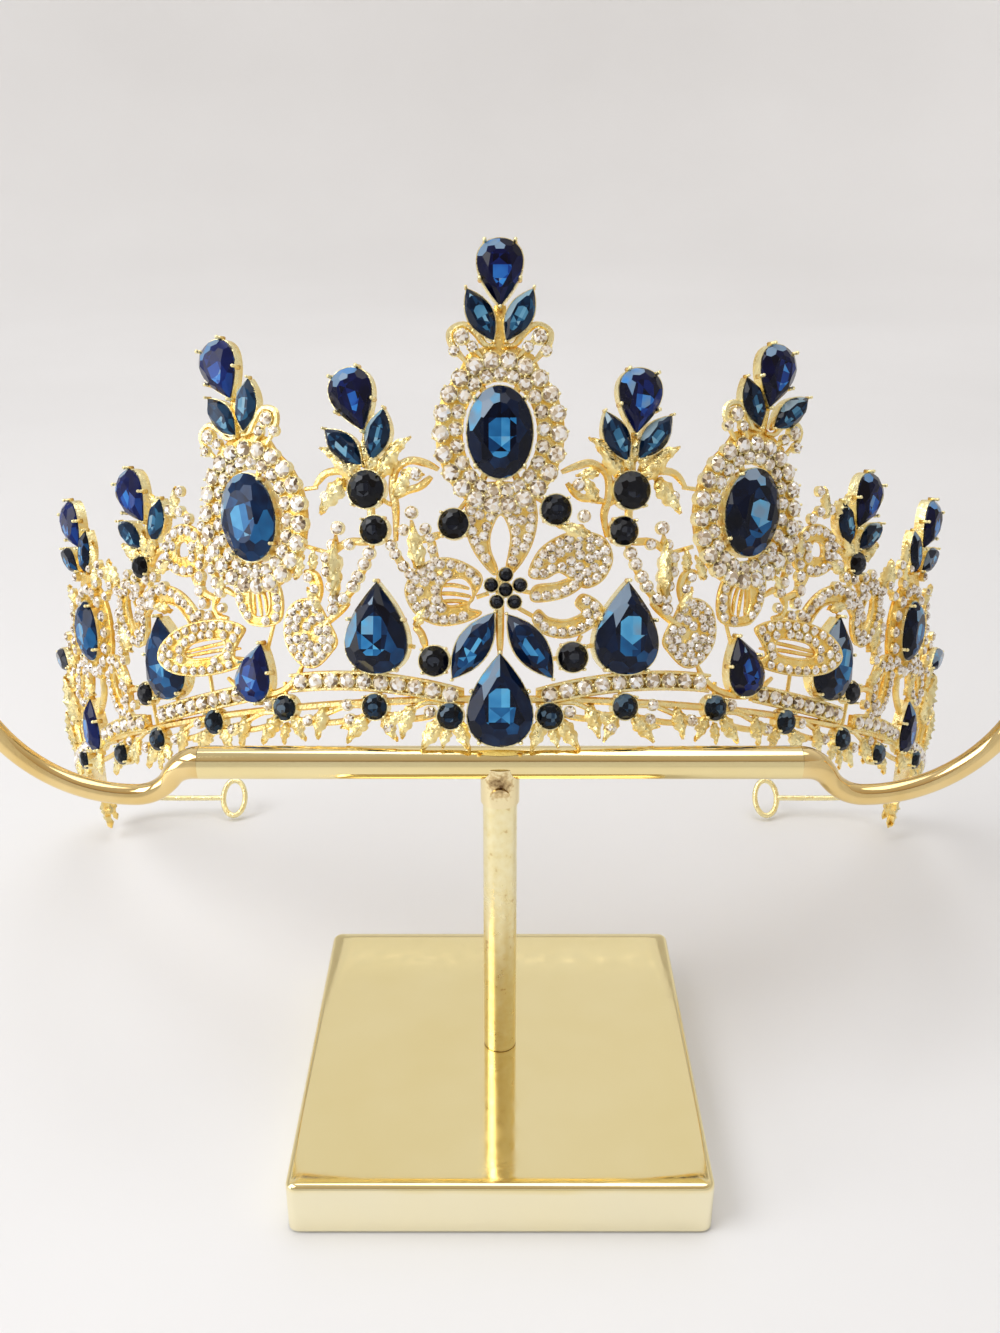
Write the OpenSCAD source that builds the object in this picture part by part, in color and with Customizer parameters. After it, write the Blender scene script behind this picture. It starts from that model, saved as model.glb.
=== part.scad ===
// Crystal tiara resting on its T-bar display stand.
// X runs to the wearer's left of the front motif, Y to the back, Z up from the table.
// A place on the tiara is s, the length along its foot from the front, and t, the height up its wall.

/* [Stand] */
// Side of the square plate
plate_w = 64.6; // [58:0.2:72]
// Height of the plate
plate_h = 9; // [7:0.5:12]
// Roundness of the plate's upright corners
plate_corner = 1.6; // [1:0.1:3]
// Diameter of the post
post_d = 5.4; // [4.5:0.1:6.5]
// Height of the cross bar's middle above the plate
bar_rise = 54.2; // [50:0.1:60]
// Diameter of the cross bar
bar_d = 5.2; // [4.4:0.1:6]
// Half length of the straight bar
bar_half = 46.5; // [42:0.5:50]
// Diameter of the bent arms
arm_d = 3.3; // [2.6:0.1:4]
// Diameter of the ball tips
ball_d = 6.4; // [5.5:0.1:8]

/* [Tiara] */
// Radius of the front of the foot
front_r = 77; // [72:1:84]
// Half length of the front arc along the foot
front_half = 48; // [44:1:52]
// Radius of the sides of the foot
side_r = 110; // [100:1:120]
// Half length of the whole band along the foot
band_half = 152; // [146:1:156]
// Lean of the wall away from the head
flare = 13.5; // [11:0.5:16]
// Backward tilt on the stand
tilt = 36; // [35:0.1:36.5]
// Height of the foot's front above the plate
foot_rise = 58.45; // [58.4:0.05:60]
// Thickness of the cast gold plates
cast_t = 1.2; // [1:0.1:1.6]
// Width of the flat scrolls
scroll_w = 1.3; // [1.1:0.1:1.6]
// Gap between a stone and the gold under it
seat_gap = 0.05; // [0.04:0.01:0.1]

/* [Hidden] */
gold = "gold";
pale_gold = "khaki";
sapphire = "midnightblue";
jet = "black";
crystal = "mistyrose";

// End loops, at [x, back, up] of the level tiara, with their half width and half height
loop_at = [65, 113, 4];
loop_half = [2.6, 4.2];
wire_w = 1.3;

// The post stands in front of the middle of the whole, and the front of the foot a little before the post
foot_ahead = 1.1;
loop_back = (loop_at[1] + wire_w / 2) * cos(tilt) + (loop_at[2] + loop_half[1]) * sin(tilt);
post_y = (plate_w / 2 - loop_back + foot_ahead) / 2;
foot_y = post_y - foot_ahead;

// Main stones: name, cut, s, t, width, length, turn
MAIN_STONES = [
  ["peak_pear_c", "pear", 0, 71, 7, 10.2, 180],
  ["crest_leaf_cl", "leaf", -2.5, 64.7, 4, 8.8, 27],
  ["crest_leaf_cr", "leaf", 2.5, 64.7, 4, 8.8, -27],
  ["oval_c", "oval", 0, 46.9, 10, 14, 0],
  ["drop_leaf_l", "leaf", -3.9, 14.6, 5, 11.8, -33],
  ["drop_leaf_r", "leaf", 4.4, 14.5, 5, 11.8, 36],
  ["drop_pear_c", "pear", 0, 6.3, 10, 14.2, 0],
  ["peak_pear_l1", "pear", -19.5, 53, 7, 10, 195],
  ["crest_leaf_l1_out", "leaf", -21.4, 46, 4, 8.2, 43],
  ["crest_leaf_l1_in", "leaf", -16.5, 47.4, 4, 8, -17],
  ["big_pear_l1", "pear", -18, 17.8, 10, 14, -4],
  ["peak_pear_r1", "pear", 18.5, 52.7, 7, 10, 177],
  ["crest_leaf_r1_in", "leaf", 15.7, 47, 4, 8.2, 28],
  ["crest_leaf_r1_out", "leaf", 21.1, 47.5, 4, 8.6, -35],
  ["big_pear_r1", "pear", 18.5, 17.8, 10.2, 14.2, 2],
  ["peak_pear_l2", "pear", -39.2, 61.3, 7, 10, 197],
  ["crest_leaf_l2_out", "leaf", -40, 54, 4, 8.2, 34],
  ["crest_leaf_l2_in", "leaf", -35.7, 55, 4, 8.2, -14],
  ["oval_l2", "oval", -37, 37.2, 10.2, 14.2, 6],
  ["small_pear_l2", "pear", -39.2, 12.6, 6.8, 9.6, -24],
  ["peak_pear_r2", "pear", 38.7, 60.2, 7, 10.2, 172],
  ["crest_leaf_r2_in", "leaf", 35.6, 55.4, 4, 8, 26],
  ["crest_leaf_r2_out", "leaf", 42.2, 55.2, 4, 8.8, -46],
  ["oval_r2", "oval", 37, 38, 10.2, 14.2, -6],
  ["small_pear_r2", "pear", 38.9, 13.6, 6.8, 9.8, 25],
  ["peak_pear_l3", "pear", -61.2, 45.8, 7, 10, 204],
  ["crest_leaf_l3_out", "leaf", -63.6, 39.9, 3.8, 8, 44],
  ["crest_leaf_l3_in", "leaf", -56.2, 40.6, 3.8, 7.4, -26],
  ["big_pear_l3", "pear", -58.8, 17.6, 10, 14, 0],
  ["peak_pear_r3", "pear", 61.2, 45.1, 7, 10, 162],
  ["crest_leaf_r3_in", "leaf", 57, 40.3, 3.8, 7.6, 25],
  ["crest_leaf_r3_out", "leaf", 63.8, 39.7, 3.8, 8, -46],
  ["big_pear_r3", "pear", 58.4, 17.4, 10, 14, 0],
  ["peak_pear_l4", "pear", -83, 46.6, 6.6, 9.6, 202],
  ["oval_l4", "oval", -83.6, 27, 8, 11, 0],
  ["small_pear_l4", "pear", -90, 10.2, 6.6, 9.8, -12],
  ["peak_pear_r4", "pear", 84, 47, 6.6, 9.6, 162],
  ["oval_r4", "oval", 83.6, 27, 8, 11, 0],
  ["small_pear_r4", "pear", 90, 9.8, 6.6, 9.8, 12]
];
NAME = 0;
CUT = 1;
S = 2;
T = 3;
WIDTH = 4;
LENGTH = 5;
TURN = 6;

// Side leaf stones on the right, three to a node: s, t, width, length, turn
SIDE_LEAVES = [
  [79.8, 40.9, 3.8, 7.6, 24],
  [87.2, 41.4, 3.8, 8, -46],
  [105, 26, 4, 9, -58]
];

// Round black stones of the upper work: s, t, diameter
UPPER_ROUNDS = [
  [-6.4, 33.2, 4.6],
  [7.7, 35.4, 4.6],
  [-9.7, 12.4, 4.6],
  [10.7, 13, 4.6],
  [-18.5, 39.2, 5.8],
  [18.2, 39, 5.8],
  [-17.7, 32.9, 4.4],
  [17.4, 32.7, 4.4],
  [-62.2, 34, 4],
  [61.5, 34.4, 4],
  [-66.4, 12.5, 4],
  [65.6, 12.6, 4]
];

// Round black stones of the band, on each side: s, t
BAND_ROUNDS = [[7.5, 3.9], [19.1, 5.7], [34.4, 6.5], [49.2, 5.6], [64.8, 4.4], [78.5, 3.4], [101, 5.2]];
band_round_d = 4;

// Ovals with a halo: name, s, t, turn, and the turn of the crest over it
HALOS = [["halo_stones_c", 0, 46.9, 0, 0], ["halo_stones_l", -37, 37.2, 6, 3.5], ["halo_stones_r", 37, 38, -6, -4.5]];

// Arches of the row of clear stones: first s, first t, last s, last t, rise in the middle, stones
ROW_ARCHES = [
  [7.6, 7.5, 31.4, 10.4, 0.7, 10],
  [43.4, 9.4, 62.4, 8.4, 0, 8],
  [69.6, 7.8, 85, 7.8, 0.4, 6]
];
row_stone_d = 2.3;

// Flower in the middle: s, t, stone diameter, distance of the five outer stones
FLOWER = [0.8, 23.1, 2.1, 2.3];

// Plan of the foot: the heading turns by front_r first and by side_r after it
first_turn = front_half / front_r * 180 / PI;
function heading(s) =
  let (a = abs(s), front = min(a, front_half))
  sign(s) * (front / front_r + (a - front) / side_r) * 180 / PI;
function foot(s) =
  let (a = heading(abs(s)), b = min(a, first_turn))
  [
    sign(s) * (front_r * sin(b) + side_r * (sin(a) - sin(b))),
    front_r * (1 - cos(b)) + side_r * (cos(b) - cos(a))
  ];

// A point of the leaning wall, n outside its face, and the wall's outward normal
function wall(s, t, n = 0) =
  let (a = heading(s), p = foot(s), out = t * sin(flare) + n * cos(flare))
  [p[0] + out * sin(a), p[1] - out * cos(a), t * cos(flare) - n * sin(flare)];
function normal(s) =
  let (a = heading(s))
  [cos(flare) * sin(a), -cos(flare) * cos(a), -sin(flare)];

// Sets its children on the wall: x along the band, y up the wall, z out of it
module on_wall(s, t, n = 0) {
  p = foot(s);
  translate([p[0], p[1], 0])
    rotate([0, 0, heading(s)])
      rotate([90 + flare, 0, 0])
        translate([0, t, n])
          children();
}

// Sets the tiara, made level, on the stand
module tiara_pose() {
  translate([0, foot_y, plate_h + foot_rise])
    rotate([-tilt, 0, 0])
      children();
}

// Outlines of the cuts, anticlockwise from the top, in n points
pear_bulge = 0.77;
function pear_outline(w, h, n) = [
  for (i = [0:n - 1])
    let (a = 360 * i / n)
    [-w / 2 / pear_bulge * sin(a) * sin(a / 2), h / 2 * cos(a)]
];
function oval_outline(w, h, n) = [for (i = [0:n - 1]) [-w / 2 * sin(360 * i / n), h / 2 * cos(360 * i / n)]];
function leaf_outline(w, h, n) = [
  for (i = [0:n - 1])
    let (a = 360 * i / n)
    [-w / 2 * sign(sin(a)) * pow(sin(a), 2), h / 2 * cos(a)]
];
function outline(cut, w, h) =
  cut == "pear" ? pear_outline(w, h, 10)
  : cut == "leaf" ? leaf_outline(w, h, 8)
  : oval_outline(w, h, 12);

// A cut stone: a narrow base, its girdle at two fifths of the height, and a flat table
base_scale = 0.7;
table_scale = 0.56;
girdle_at = 0.4;
function stone_rise(w) = 0.6 + 0.24 * w;
function ring(pts, scale, z) = [for (p = pts) [p[0] * scale, p[1] * scale, z]];
module cut_stone(pts, rise) {
  n = len(pts);
  low = ring(pts, base_scale, seat_gap);
  mid = ring(pts, 1, rise * girdle_at);
  top = ring(pts, table_scale, rise);
  sides = [
    for (k = [0:1], i = [0:n - 1])
      let (a = k * n + i, b = k * n + (i + 1) % n)
      each [[a, a + n, b + n], [a, b + n, b]]
  ];
  polyhedron(concat(low, mid, top), concat([[for (i = [0:n - 1]) i]], sides, [[for (i = [n - 1:-1:0]) 2 * n + i]]));
}

// A small round stone: an eight-sided girdle under a square table, with four broad facets and four corner ones
module small_stone(d) {
  girdle = oval_outline(d, d, 8);
  table = [for (i = [1:2:7]) girdle[i] * table_scale];
  facets = [
    for (i = [0:3])
      let (g = 2 * i, h = (g + 2) % 8, a = 8 + i, b = 8 + (i + 1) % 4)
      each [[g + 1, a, h], [h, a, b], [h, b, (h + 1) % 8]]
  ];
  polyhedron(
    concat(ring(girdle, 1, seat_gap), ring(table, 1, seat_gap + d * 0.42)),
    concat([[for (i = [0:7]) i]], facets, [[11, 10, 9, 8]])
  );
}

module main_stone(row) {
  color(sapphire)
    tiara_pose()
      on_motif(row[S], row[T], row[TURN])
        cut_stone(outline(row[CUT], row[WIDTH], row[LENGTH]), stone_rise(row[WIDTH]));
}

module side_leaves(side) {
  color(sapphire)
    tiara_pose()
      for (row = SIDE_LEAVES)
        on_motif(side * row[0], row[1], side * row[4])
          cut_stone(leaf_outline(row[2], row[3], 8), stone_rise(row[2]));
}

module upper_rounds() {
  color(jet)
    tiara_pose()
      for (row = UPPER_ROUNDS)
        on_motif(row[0], row[1])
          cut_stone(oval_outline(row[2], row[2], 8), stone_rise(row[2]));
}

module band_rounds() {
  color(jet)
    tiara_pose()
      for (side = [-1, 1], row = BAND_ROUNDS)
        on_motif(side * row[0], row[1])
          small_stone(band_round_d);
}

module flower_stones() {
  color(jet)
    tiara_pose()
      on_motif(FLOWER[0], FLOWER[1])
        for (i = [0:5])
          rotate(90 + 72 * i)
            translate([i < 5 ? FLOWER[3] : 0, 0, 0])
              small_stone(FLOWER[2]);
}

// The larger stones of a halo: half width and half height of their ring, diameter and number
HALO_RING = [9, 11, 2.4, 18];
module halo_stones(row) {
  color(crystal)
    tiara_pose()
      on_motif(row[1], row[2], row[3])
        for (i = [0:HALO_RING[3] - 1])
          let (a = 360 * (i + 0.5) / HALO_RING[3])
          translate([HALO_RING[0] * sin(a), HALO_RING[1] * cos(a), 0])
            small_stone(HALO_RING[2]);
}

function arch_t(arch, s) =
  let (u = (s - arch[0]) / (arch[2] - arch[0]))
  arch[1] + (arch[3] - arch[1]) * u + arch[4] * 4 * u * (1 - u);
module row_stones() {
  color(crystal)
    tiara_pose()
      for (side = [-1, 1], arch = ROW_ARCHES, i = [0:arch[5] - 1])
        let (s = arch[0] + (arch[2] - arch[0]) * i / (arch[5] - 1))
        on_motif(side * s, arch_t(arch, s))
          small_stone(row_stone_d);
}

// Gold work. Each motif is one pierced casting on the flat that touches the wall at the motif's middle.
MOTIF_S = [0, 18.4, 37, 60, 84, 104, 117, 129.4, 141];
function radius_at(s) = abs(s) < front_half ? front_r : side_r;
function edge_between(a, b) =
  let (p = sqrt(radius_at(a)), q = sqrt(radius_at(b)))
  (a * q + b * p) / (p + q);
function motif_edge(k) = k < 0 ? -motif_edge(0) : k > 7 ? band_half : edge_between(MOTIF_S[k], MOTIF_S[k + 1]);
function motif_of(s) = sign(s) * MOTIF_S[len([for (k = [0:7]) if (abs(s) > motif_edge(k)) k])];
function flat(m, s, t) = [(s - m) * (1 + t * sin(flare) / radius_at(m)), t];
module on_motif(s, t, turn = 0) {
  m = motif_of(s);
  on_wall(m, 0)
    spot(m, s, t, turn)
      children();
}
module spot(m, s, t, turn = 0) {
  translate(flat(m, s, t))
    rotate(turn)
      children();
}
module cast_on(m, thick = cast_t) {
  on_wall(m, 0, n = -thick)
    linear_extrude(thick)
      children();
}

// A flat scroll of even width along places [s, t]
function unit(v) = v / norm(v);
function side_of(path, i) =
  let (d = unit(path[min(i + 1, len(path) - 1)] - path[max(i - 1, 0)]))
  [-d[1], d[0]];
function stroke(path, w) = concat(
  [for (i = [0:len(path) - 1]) path[i] + side_of(path, i) * w / 2],
  [for (i = [len(path) - 1:-1:0]) path[i] - side_of(path, i) * w / 2]
);
module scroll(m, path, side = 1, w = scroll_w) {
  polygon(stroke([for (p = path) flat(m, side * p[0], p[1])], w));
}
function arc(s, t, rs, rt, a0, a1, k) = [
  for (i = [0:k]) let (a = a0 + (a1 - a0) * i / k) [s + rs * cos(a), t + rt * sin(a)]
];

// A cast leaf pointing along x, and the raised rib along it
module leaf(l, w) {
  polygon([[0, 0], [l * 0.3, w / 2], [l * 0.7, w * 0.4], [l, 0], [l * 0.7, -w * 0.4], [l * 0.3, -w / 2]]);
}
module drop_leaf(l, w) {
  polygon([[0, 0], [l * 0.5, w / 2], [l, 0], [l * 0.5, -w / 2]]);
}
module rib(l, w) {
  hull() {
    translate([l * 0.5, -w / 6, -0.2])
      cube([l * 0.4, w / 3, 0.1]);
    translate([l * 0.55, 0, 0.3])
      cube([l * 0.25, 0.01, 0.01]);
  }
}

// Gold rims under the stones of one motif
rim = 0.6;
module rims(m) {
  for (row = MAIN_STONES)
    if (motif_of(row[S]) == m)
      spot(m, row[S], row[T], row[TURN])
        polygon(rim_outline(row[CUT], row[WIDTH] + rim, row[LENGTH] + rim));
  for (side = [-1, 1], row = SIDE_LEAVES)
    if (motif_of(side * row[0]) == m)
      spot(m, side * row[0], row[1], side * row[4])
        polygon(leaf_outline(row[2] + rim, row[3] + rim, 6));
  for (row = UPPER_ROUNDS)
    if (motif_of(row[0]) == m)
      spot(m, row[0], row[1])
        polygon(oval_outline(row[2] + rim, row[2] + rim, 6));
  for (side = [-1, 1], row = BAND_ROUNDS)
    if (motif_of(side * row[0]) == m)
      spot(m, side * row[0], row[1])
        polygon(oval_outline(band_round_d + rim, band_round_d + rim, 6));
}
function rim_outline(cut, w, h) =
  cut == "pear" ? pear_outline(w, h, 8)
  : cut == "leaf" ? leaf_outline(w, h, 6)
  : oval_outline(w, h, 10);

// Half of the gable over a halo, from the collar to the stem of the peak
GABLE = [[-0.3, 8.4], [7.6, 8.4], [7.6, 12.8], [5, 12.2], [0.8, 15.4], [0.8, 20], [-0.3, 20]];

// A pierced oval collar for the halo, with two bridges to the oval's rim, and the gable, curls and stem on it
module collar(m, row) {
  spot(m, row[1], row[2], row[3]) {
    difference() {
      polygon(oval_outline(20.6, 24.6, 16));
      polygon(oval_outline(11.7, 16.1, 10));
    }
    for (i = [0:1])
      rotate(62 + 180 * i)
        translate([6.6, 0])
          square([3, 1.2], center = true);
  }
  spot(m, row[1], row[2], row[4])
    for (side = [-1, 1]) {
      polygon([for (p = GABLE) [side * p[0], p[1]]]);
      translate([side * 6.5, 14.2])
        polygon(oval_outline(3.2, 5, 7));
  }
}

// An oval petal of gold with an opening inside
module petal(m, s, t, a, b, turn, hole_a = 0, hole_b = 0, shift = 0) {
  spot(m, s, t, turn)
    difference() {
      polygon(oval_outline(2 * a, 2 * b, 9));
      if (hole_a > 0)
        translate([shift, 0])
          polygon(oval_outline(2 * hole_a, 2 * hole_b, 5));
    }
}

// The split petal that hangs under the middle halo: two arms with a slot between them
SPLIT_PETAL = [[-0.2, 37], [3.4, 36.4], [4.4, 32], [3.6, 27.6], [1.8, 25], [0.6, 26], [1.5, 29.5], [1, 33.5]];

module front_work() {
  collar(0, HALOS[0]);
  for (side = [-1, 1])
    polygon([for (p = SPLIT_PETAL) [side * p[0], p[1]]]);
  petal(0, -8.2, 22.8, 5.6, 4.6, -4, 3, 2.2, 1);
  petal(0, -11.4, 30.4, 1.9, 4.6, 14, 0.7, 2.6);
  petal(0, 9.6, 27.2, 5.8, 3.3, 32, 3.2, 1);
  petal(0, 8.2, 19.4, 5.2, 2.9, 8, 3.1, 0.9);
  spot(0, FLOWER[0], FLOWER[1])
    polygon(oval_outline(7, 7, 10));
  scroll(0, [[3, 23], [6, 22.8], [9, 24.6]]);
  scroll(0, [[6.6, 34], [9, 32.4], [10.4, 30.4]]);
  scroll(0, [[-6.4, 32.6], [-8.6, 31.4], [-10.6, 31.4]]);
  scroll(0, [[-4.6, 36.6], [-5.8, 34]]);
  scroll(0, [[4.4, 37.4], [6.6, 36]]);
  scroll(0, [[0, 27], [0, 12.4]], w = 1.8);
  scroll(0, [[-8.6, 12.6], [-4, 11.6]]);
  scroll(0, [[8.6, 12.6], [4, 11.6]]);
  for (side = [-1, 1])
    scroll(0, arc(10.4, 38.4, 2.6, 3.4, 210, -10, 4), side);
}

// The work between the front motif and the halo beside it
FIRST_V = [[17.6, 31], [19.4, 31], [21.4, 27], [24.6, 22.6], [26.6, 20.4], [25.4, 19], [22.4, 22.2], [19.6, 26]];
FIRST_V_SHORT = [[19, 31], [17.2, 31], [15.6, 27.6], [12.6, 25.2], [12.6, 23.4], [16.4, 25.8]];
HAMMERED = [[17.2, 40.8, 140, 5.6], [19.2, 40.8, 40, 5.8], [18.4, 38.8, -6, 6.4]];
module first_work(m, side) {
  scroll(m, [[18.4, 30], [18.4, 49.4]], side, 1.8);
  for (row = HAMMERED)
    spot(m, side * row[0], row[1], side > 0 ? row[2] : 180 - row[2])
      leaf(row[3], 2.8);
  for (points = [FIRST_V, FIRST_V_SHORT])
    polygon([for (p = points) flat(m, side * p[0], p[1])]);
  scroll(m, arc(23.6, 28.4, 2.4, 5.4, -110, 190, 6), side);
  scroll(m, [[12.2, 14.6], [14.8, 15.2]], side);
  scroll(m, [[10, 14.8], [10.8, 18.4]], side);
  scroll(m, [[18.4, 12], [18.4, 7]], side, 1.6);
  scroll(m, [[22, 21], [25.4, 19.6], [28, 18.2]], side);
  scroll(m, [[12.6, 40], [14.2, 38.4], [16.4, 38]], side);
  scroll(m, [[20.6, 40.6], [24.4, 41.6], [27.9, 40.4]], side, 1);
}

// The work round the second halo: a hooped petal between two broad ones
module second_work(m, side) {
  collar(m, HALOS[side < 0 ? 1 : 2]);
  petal(m, side * 30.2, 17.4, 3.9, 5.4, side * 24, 1, 2.4);
  petal(m, side * 37.4, 24.6, 4.8, 6, side * 6, 2.2, 3.4);
  petal(m, side * 46.6, 17.4, 4.2, 4.6, side * 4, 2, 1.2, side);
  scroll(m, [[28.4, 21.6], [27.6, 24.6], [28.8, 28.6]], side);
  scroll(m, [[31, 12.8], [32.6, 10.4], [36, 9.2], [41.6, 9.2], [45.6, 12.4]], side);
  scroll(m, arc(44.2, 23.6, 2.2, 3, 230, -30, 4), side);
  scroll(m, [[36, 20], [37.8, 15.4]], side, 1.6);
  scroll(m, [[34.4, 10.6], [34.4, 6]], side);
  scroll(m, [[41.6, 15], [43.6, 15.4]], side);
}

// The work round the third peak and its big pear
THIRD_LEAVES = [[60.6, 34.8, 140, 5.4], [62.4, 35, 40, 5.4]];
module third_work(m, side) {
  scroll(m, [[61.4, 29.6], [61, 35.6], [59.4, 42]], side, 1.6);
  scroll(m, [[58.2, 37.4], [61, 35.6], [63.2, 37.4]], side, 1);
  for (row = THIRD_LEAVES)
    spot(m, side * row[0], row[1], side > 0 ? row[2] : 180 - row[2])
      leaf(row[3], 2.8);
  petal(m, side * 51.4, 33, 3.6, 4.4, side * -20, 1.6, 2.2);
  petal(m, side * 53, 17.2, 5.8, 4.8, side * 4, 3.2, 1.2, side * -1);
  petal(m, side * 67.6, 26.6, 3.4, 5.6, side * -12, 1.4, 3.2);
  scroll(m, [[46, 35.4], [48.6, 34.6]], side);
  scroll(m, [[45.6, 25.4], [48.4, 27], [50.6, 29.4]], side);
  scroll(m, [[50.4, 20.6], [53.4, 25], [58.6, 27.4], [62.8, 27.4], [66, 24.6]], side, 1.6);
  scroll(m, [[61.4, 30.6], [60.2, 27.6], [58.8, 24]], side);
  scroll(m, [[58.6, 12], [58.6, 7]], side, 1.6);
  scroll(m, [[61.6, 13.2], [66, 12.6]], side);
  scroll(m, [[66, 11.6], [65.4, 5]], side);
  scroll(m, [[67.8, 13], [71, 14], [74, 13.6]], side);
  scroll(m, [[49.6, 13.4], [49.4, 7]], side);
}

// The fourth motif, with one ring of clear stones round its oval
module fourth_work(m, side) {
  spot(m, side * 83.6, 27) {
    difference() {
      polygon(oval_outline(15.2, 18.6, 12));
      polygon(oval_outline(9.4, 12.4, 10));
    }
    polygon([[-4, 8.4], [4, 8.4], [0.9, 13], [0.9, 16.4], [-0.9, 16.4], [-0.9, 13]]);
    for (i = [0:1])
      rotate(61 + 180 * i)
        translate([5.4, 0])
          square([2.6, 1.2], center = true);
  }
  petal(m, side * 76.8, 15.4, 3.4, 5.8, side * -14, 1.2, 2.8);
  petal(m, side * 94, 19, 5.2, 3.6, side * -30, 2.6, 1.2);
  scroll(m, [[69, 31], [72.4, 32.4], [77, 31]], side);
  scroll(m, [[83.6, 18.6], [84.4, 15], [88.6, 11.6]], side);
  scroll(m, [[90, 6.4], [90, 4.4]], side);
  scroll(m, [[78.4, 10.6], [78.5, 4]], side);
  scroll(m, [[90.6, 21.6], [90, 24.4]], side);
}

// The plain openwork of the back, falling to the end of the band
TAIL_CURLS = [[104, 16, 6.2, 9], [117, 13.4, 6, 6.6], [129.4, 12, 5.6, 5.2], [141, 10.8, 5, 4]];
module tail_work(m, side, row) {
  scroll(m, arc(row[0], row[1] - 1.4, row[2], row[3], 215, -35, 5), side);
  scroll(m, [[row[0], 6.6], [row[0], row[1] - 2]], side);
  spot(m, side * row[0], row[1] - 3.4, 90 - side * 10)
    leaf(row[3] + 1.2, 3);
}

// Leaves that hang from the foot, in pairs under the round stones and one between: s, t, turn, length
FOOT_LEAVES = [
  [6.6, 2.6, -110, 4.6], [8.8, 2.6, -55, 5], [13.4, 4.8, -70, 4.6],
  [18, 3.6, -115, 4], [20.4, 3.6, -48, 4.8], [27.6, 5.2, -72, 4.4],
  [33.4, 4.4, -115, 4], [35.8, 4.4, -48, 4.8], [42.4, 5, -72, 4.4],
  [48.2, 3.8, -115, 4], [50.6, 3.8, -48, 4.8], [57.4, 4.8, -72, 4.4],
  [63.8, 2.8, -115, 3.6], [66.2, 2.8, -48, 4.4], [72.4, 4.6, -72, 4],
  [80, 3, -48, 4.4], [90.6, 4.6, -72, 4], [102.4, 3.4, -48, 4.4],
  [112, 5.2, -72, 4], [124, 5.2, -72, 4], [136, 5.2, -72, 4], [149, 5.2, -28, 7]
];
module foot_leaves(m) {
  for (side = [-1, 1], row = FOOT_LEAVES)
    if (motif_of(side * row[0]) == m)
      spot(m, side * row[0], row[1] + 1, side > 0 ? row[2] : 180 - row[2])
        drop_leaf(row[3] + 0.6, 2.3);
}
module ribs() {
  for (side = [-1, 1], row = concat(HAMMERED, THIRD_LEAVES))
    on_motif(side * row[0], row[1], side > 0 ? row[2] : 180 - row[2])
      rib(row[3], 2.8);
}

// A strip of even width and thickness along centres c, its broad face across the vectors up
module strip(c, up, w, h, closed = false) {
  m = len(c);
  corners = [
    for (i = [0:m - 1])
      let (
        before = c[closed ? (i + m - 1) % m : max(i - 1, 0)],
        after = c[closed ? (i + 1) % m : min(i + 1, m - 1)],
        d = unit(after - before),
        across = unit(cross(d, up[i])) * w / 2,
        over = unit(cross(across, d)) * h / 2
      )
      each [c[i] - across - over, c[i] + across - over, c[i] + across + over, c[i] - across + over]
  ];
  sides = [
    for (i = [0:closed ? m - 1 : m - 2], k = [0:3])
      let (a = 4 * i + k, b = 4 * i + (k + 1) % 4, e = 4 * ((i + 1) % m) + (k + 1) % 4, f = 4 * ((i + 1) % m) + k)
      each [[a, b, e], [a, e, f]]
  ];
  ends = closed ? [] : [[3, 2, 1, 0], [for (k = [0:3]) 4 * (m - 1) + k]];
  polyhedron(corners, concat(sides, ends));
}

// The foot within one motif: a straight wire, the channels of the row of clear stones, and the swags
foot_lap = 0.1;
function run(f, a, b, k) = [for (i = [0:k]) let (s = a + (b - a) * i / k) [s, f(s)]];
module foot_run(m, side, k) {
  lo = k == 0 ? -motif_edge(0) - foot_lap : motif_edge(k - 1) - foot_lap;
  hi = motif_edge(k) + foot_lap;
  scroll(m, [[lo, 6.5], [hi, 6.5]], side);
  for (row = ROW_ARCHES)
    foot_piece(m, side, max(lo, row[0] - 1.2), min(hi, row[2] + 1.2), function(s) arch_t(row, s), 2.9);
  for (i = [0:len(BAND_ROUNDS) - 2])
    let (a = BAND_ROUNDS[i][0], b = BAND_ROUNDS[i + 1][0])
    foot_piece(m, side, max(lo, a + 1.5), min(hi, b - 1.5), function(s) 4.9 - sin(180 * (s - a) / (b - a)), 1.2);
}
module foot_piece(m, side, a, b, f, w) {
  if (b - a > 1)
    scroll(m, run(f, a, b, b - a > 6 ? 2 : 1), side, w);
}

// End wires: from the end of the band in behind the head, each with an upright loop for a ribbon
module end_wire(side) {
  start = wall(side * (band_half - 2), 6.2, -0.6);
  path = [start, wall(side * (band_half + 4), 4.6, -0.6), [side * 82, 112.4, 4], [side * (loop_at[0] + loop_half[0]), loop_at[1], loop_at[2]]];
  strip(path, [for (p = path) [0, -1, 0]], wire_w, wire_w);
  ring = [
    for (i = [0:9])
      [side * loop_at[0] + loop_half[0] * cos(36 * i), loop_at[1], loop_at[2] + loop_half[1] * sin(36 * i)]
  ];
  strip(ring, [for (p = ring) [0, 1, 0]], wire_w, wire_w, closed = true);
}

module frame() {
  color(gold)
    tiara_pose()
      union() {
        cast_on(0) {
          rims(0);
          foot_leaves(0);
          front_work();
          for (side = [-1, 1])
            foot_run(0, side, 0);
        }
        for (side = [-1, 1], k = [1:len(MOTIF_S) - 1])
          let (m = side * MOTIF_S[k])
          cast_on(m) {
            rims(m);
            foot_leaves(m);
            foot_run(m, side, k);
            if (k == 1) first_work(m, side);
            if (k == 2) second_work(m, side);
            if (k == 3) third_work(m, side);
            if (k == 4) fourth_work(m, side);
            if (k > 4) tail_work(m, side, TAIL_CURLS[k - 5]);
          }
        ribs();
        for (side = [-1, 1])
          end_wire(side);
      }
}

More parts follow.
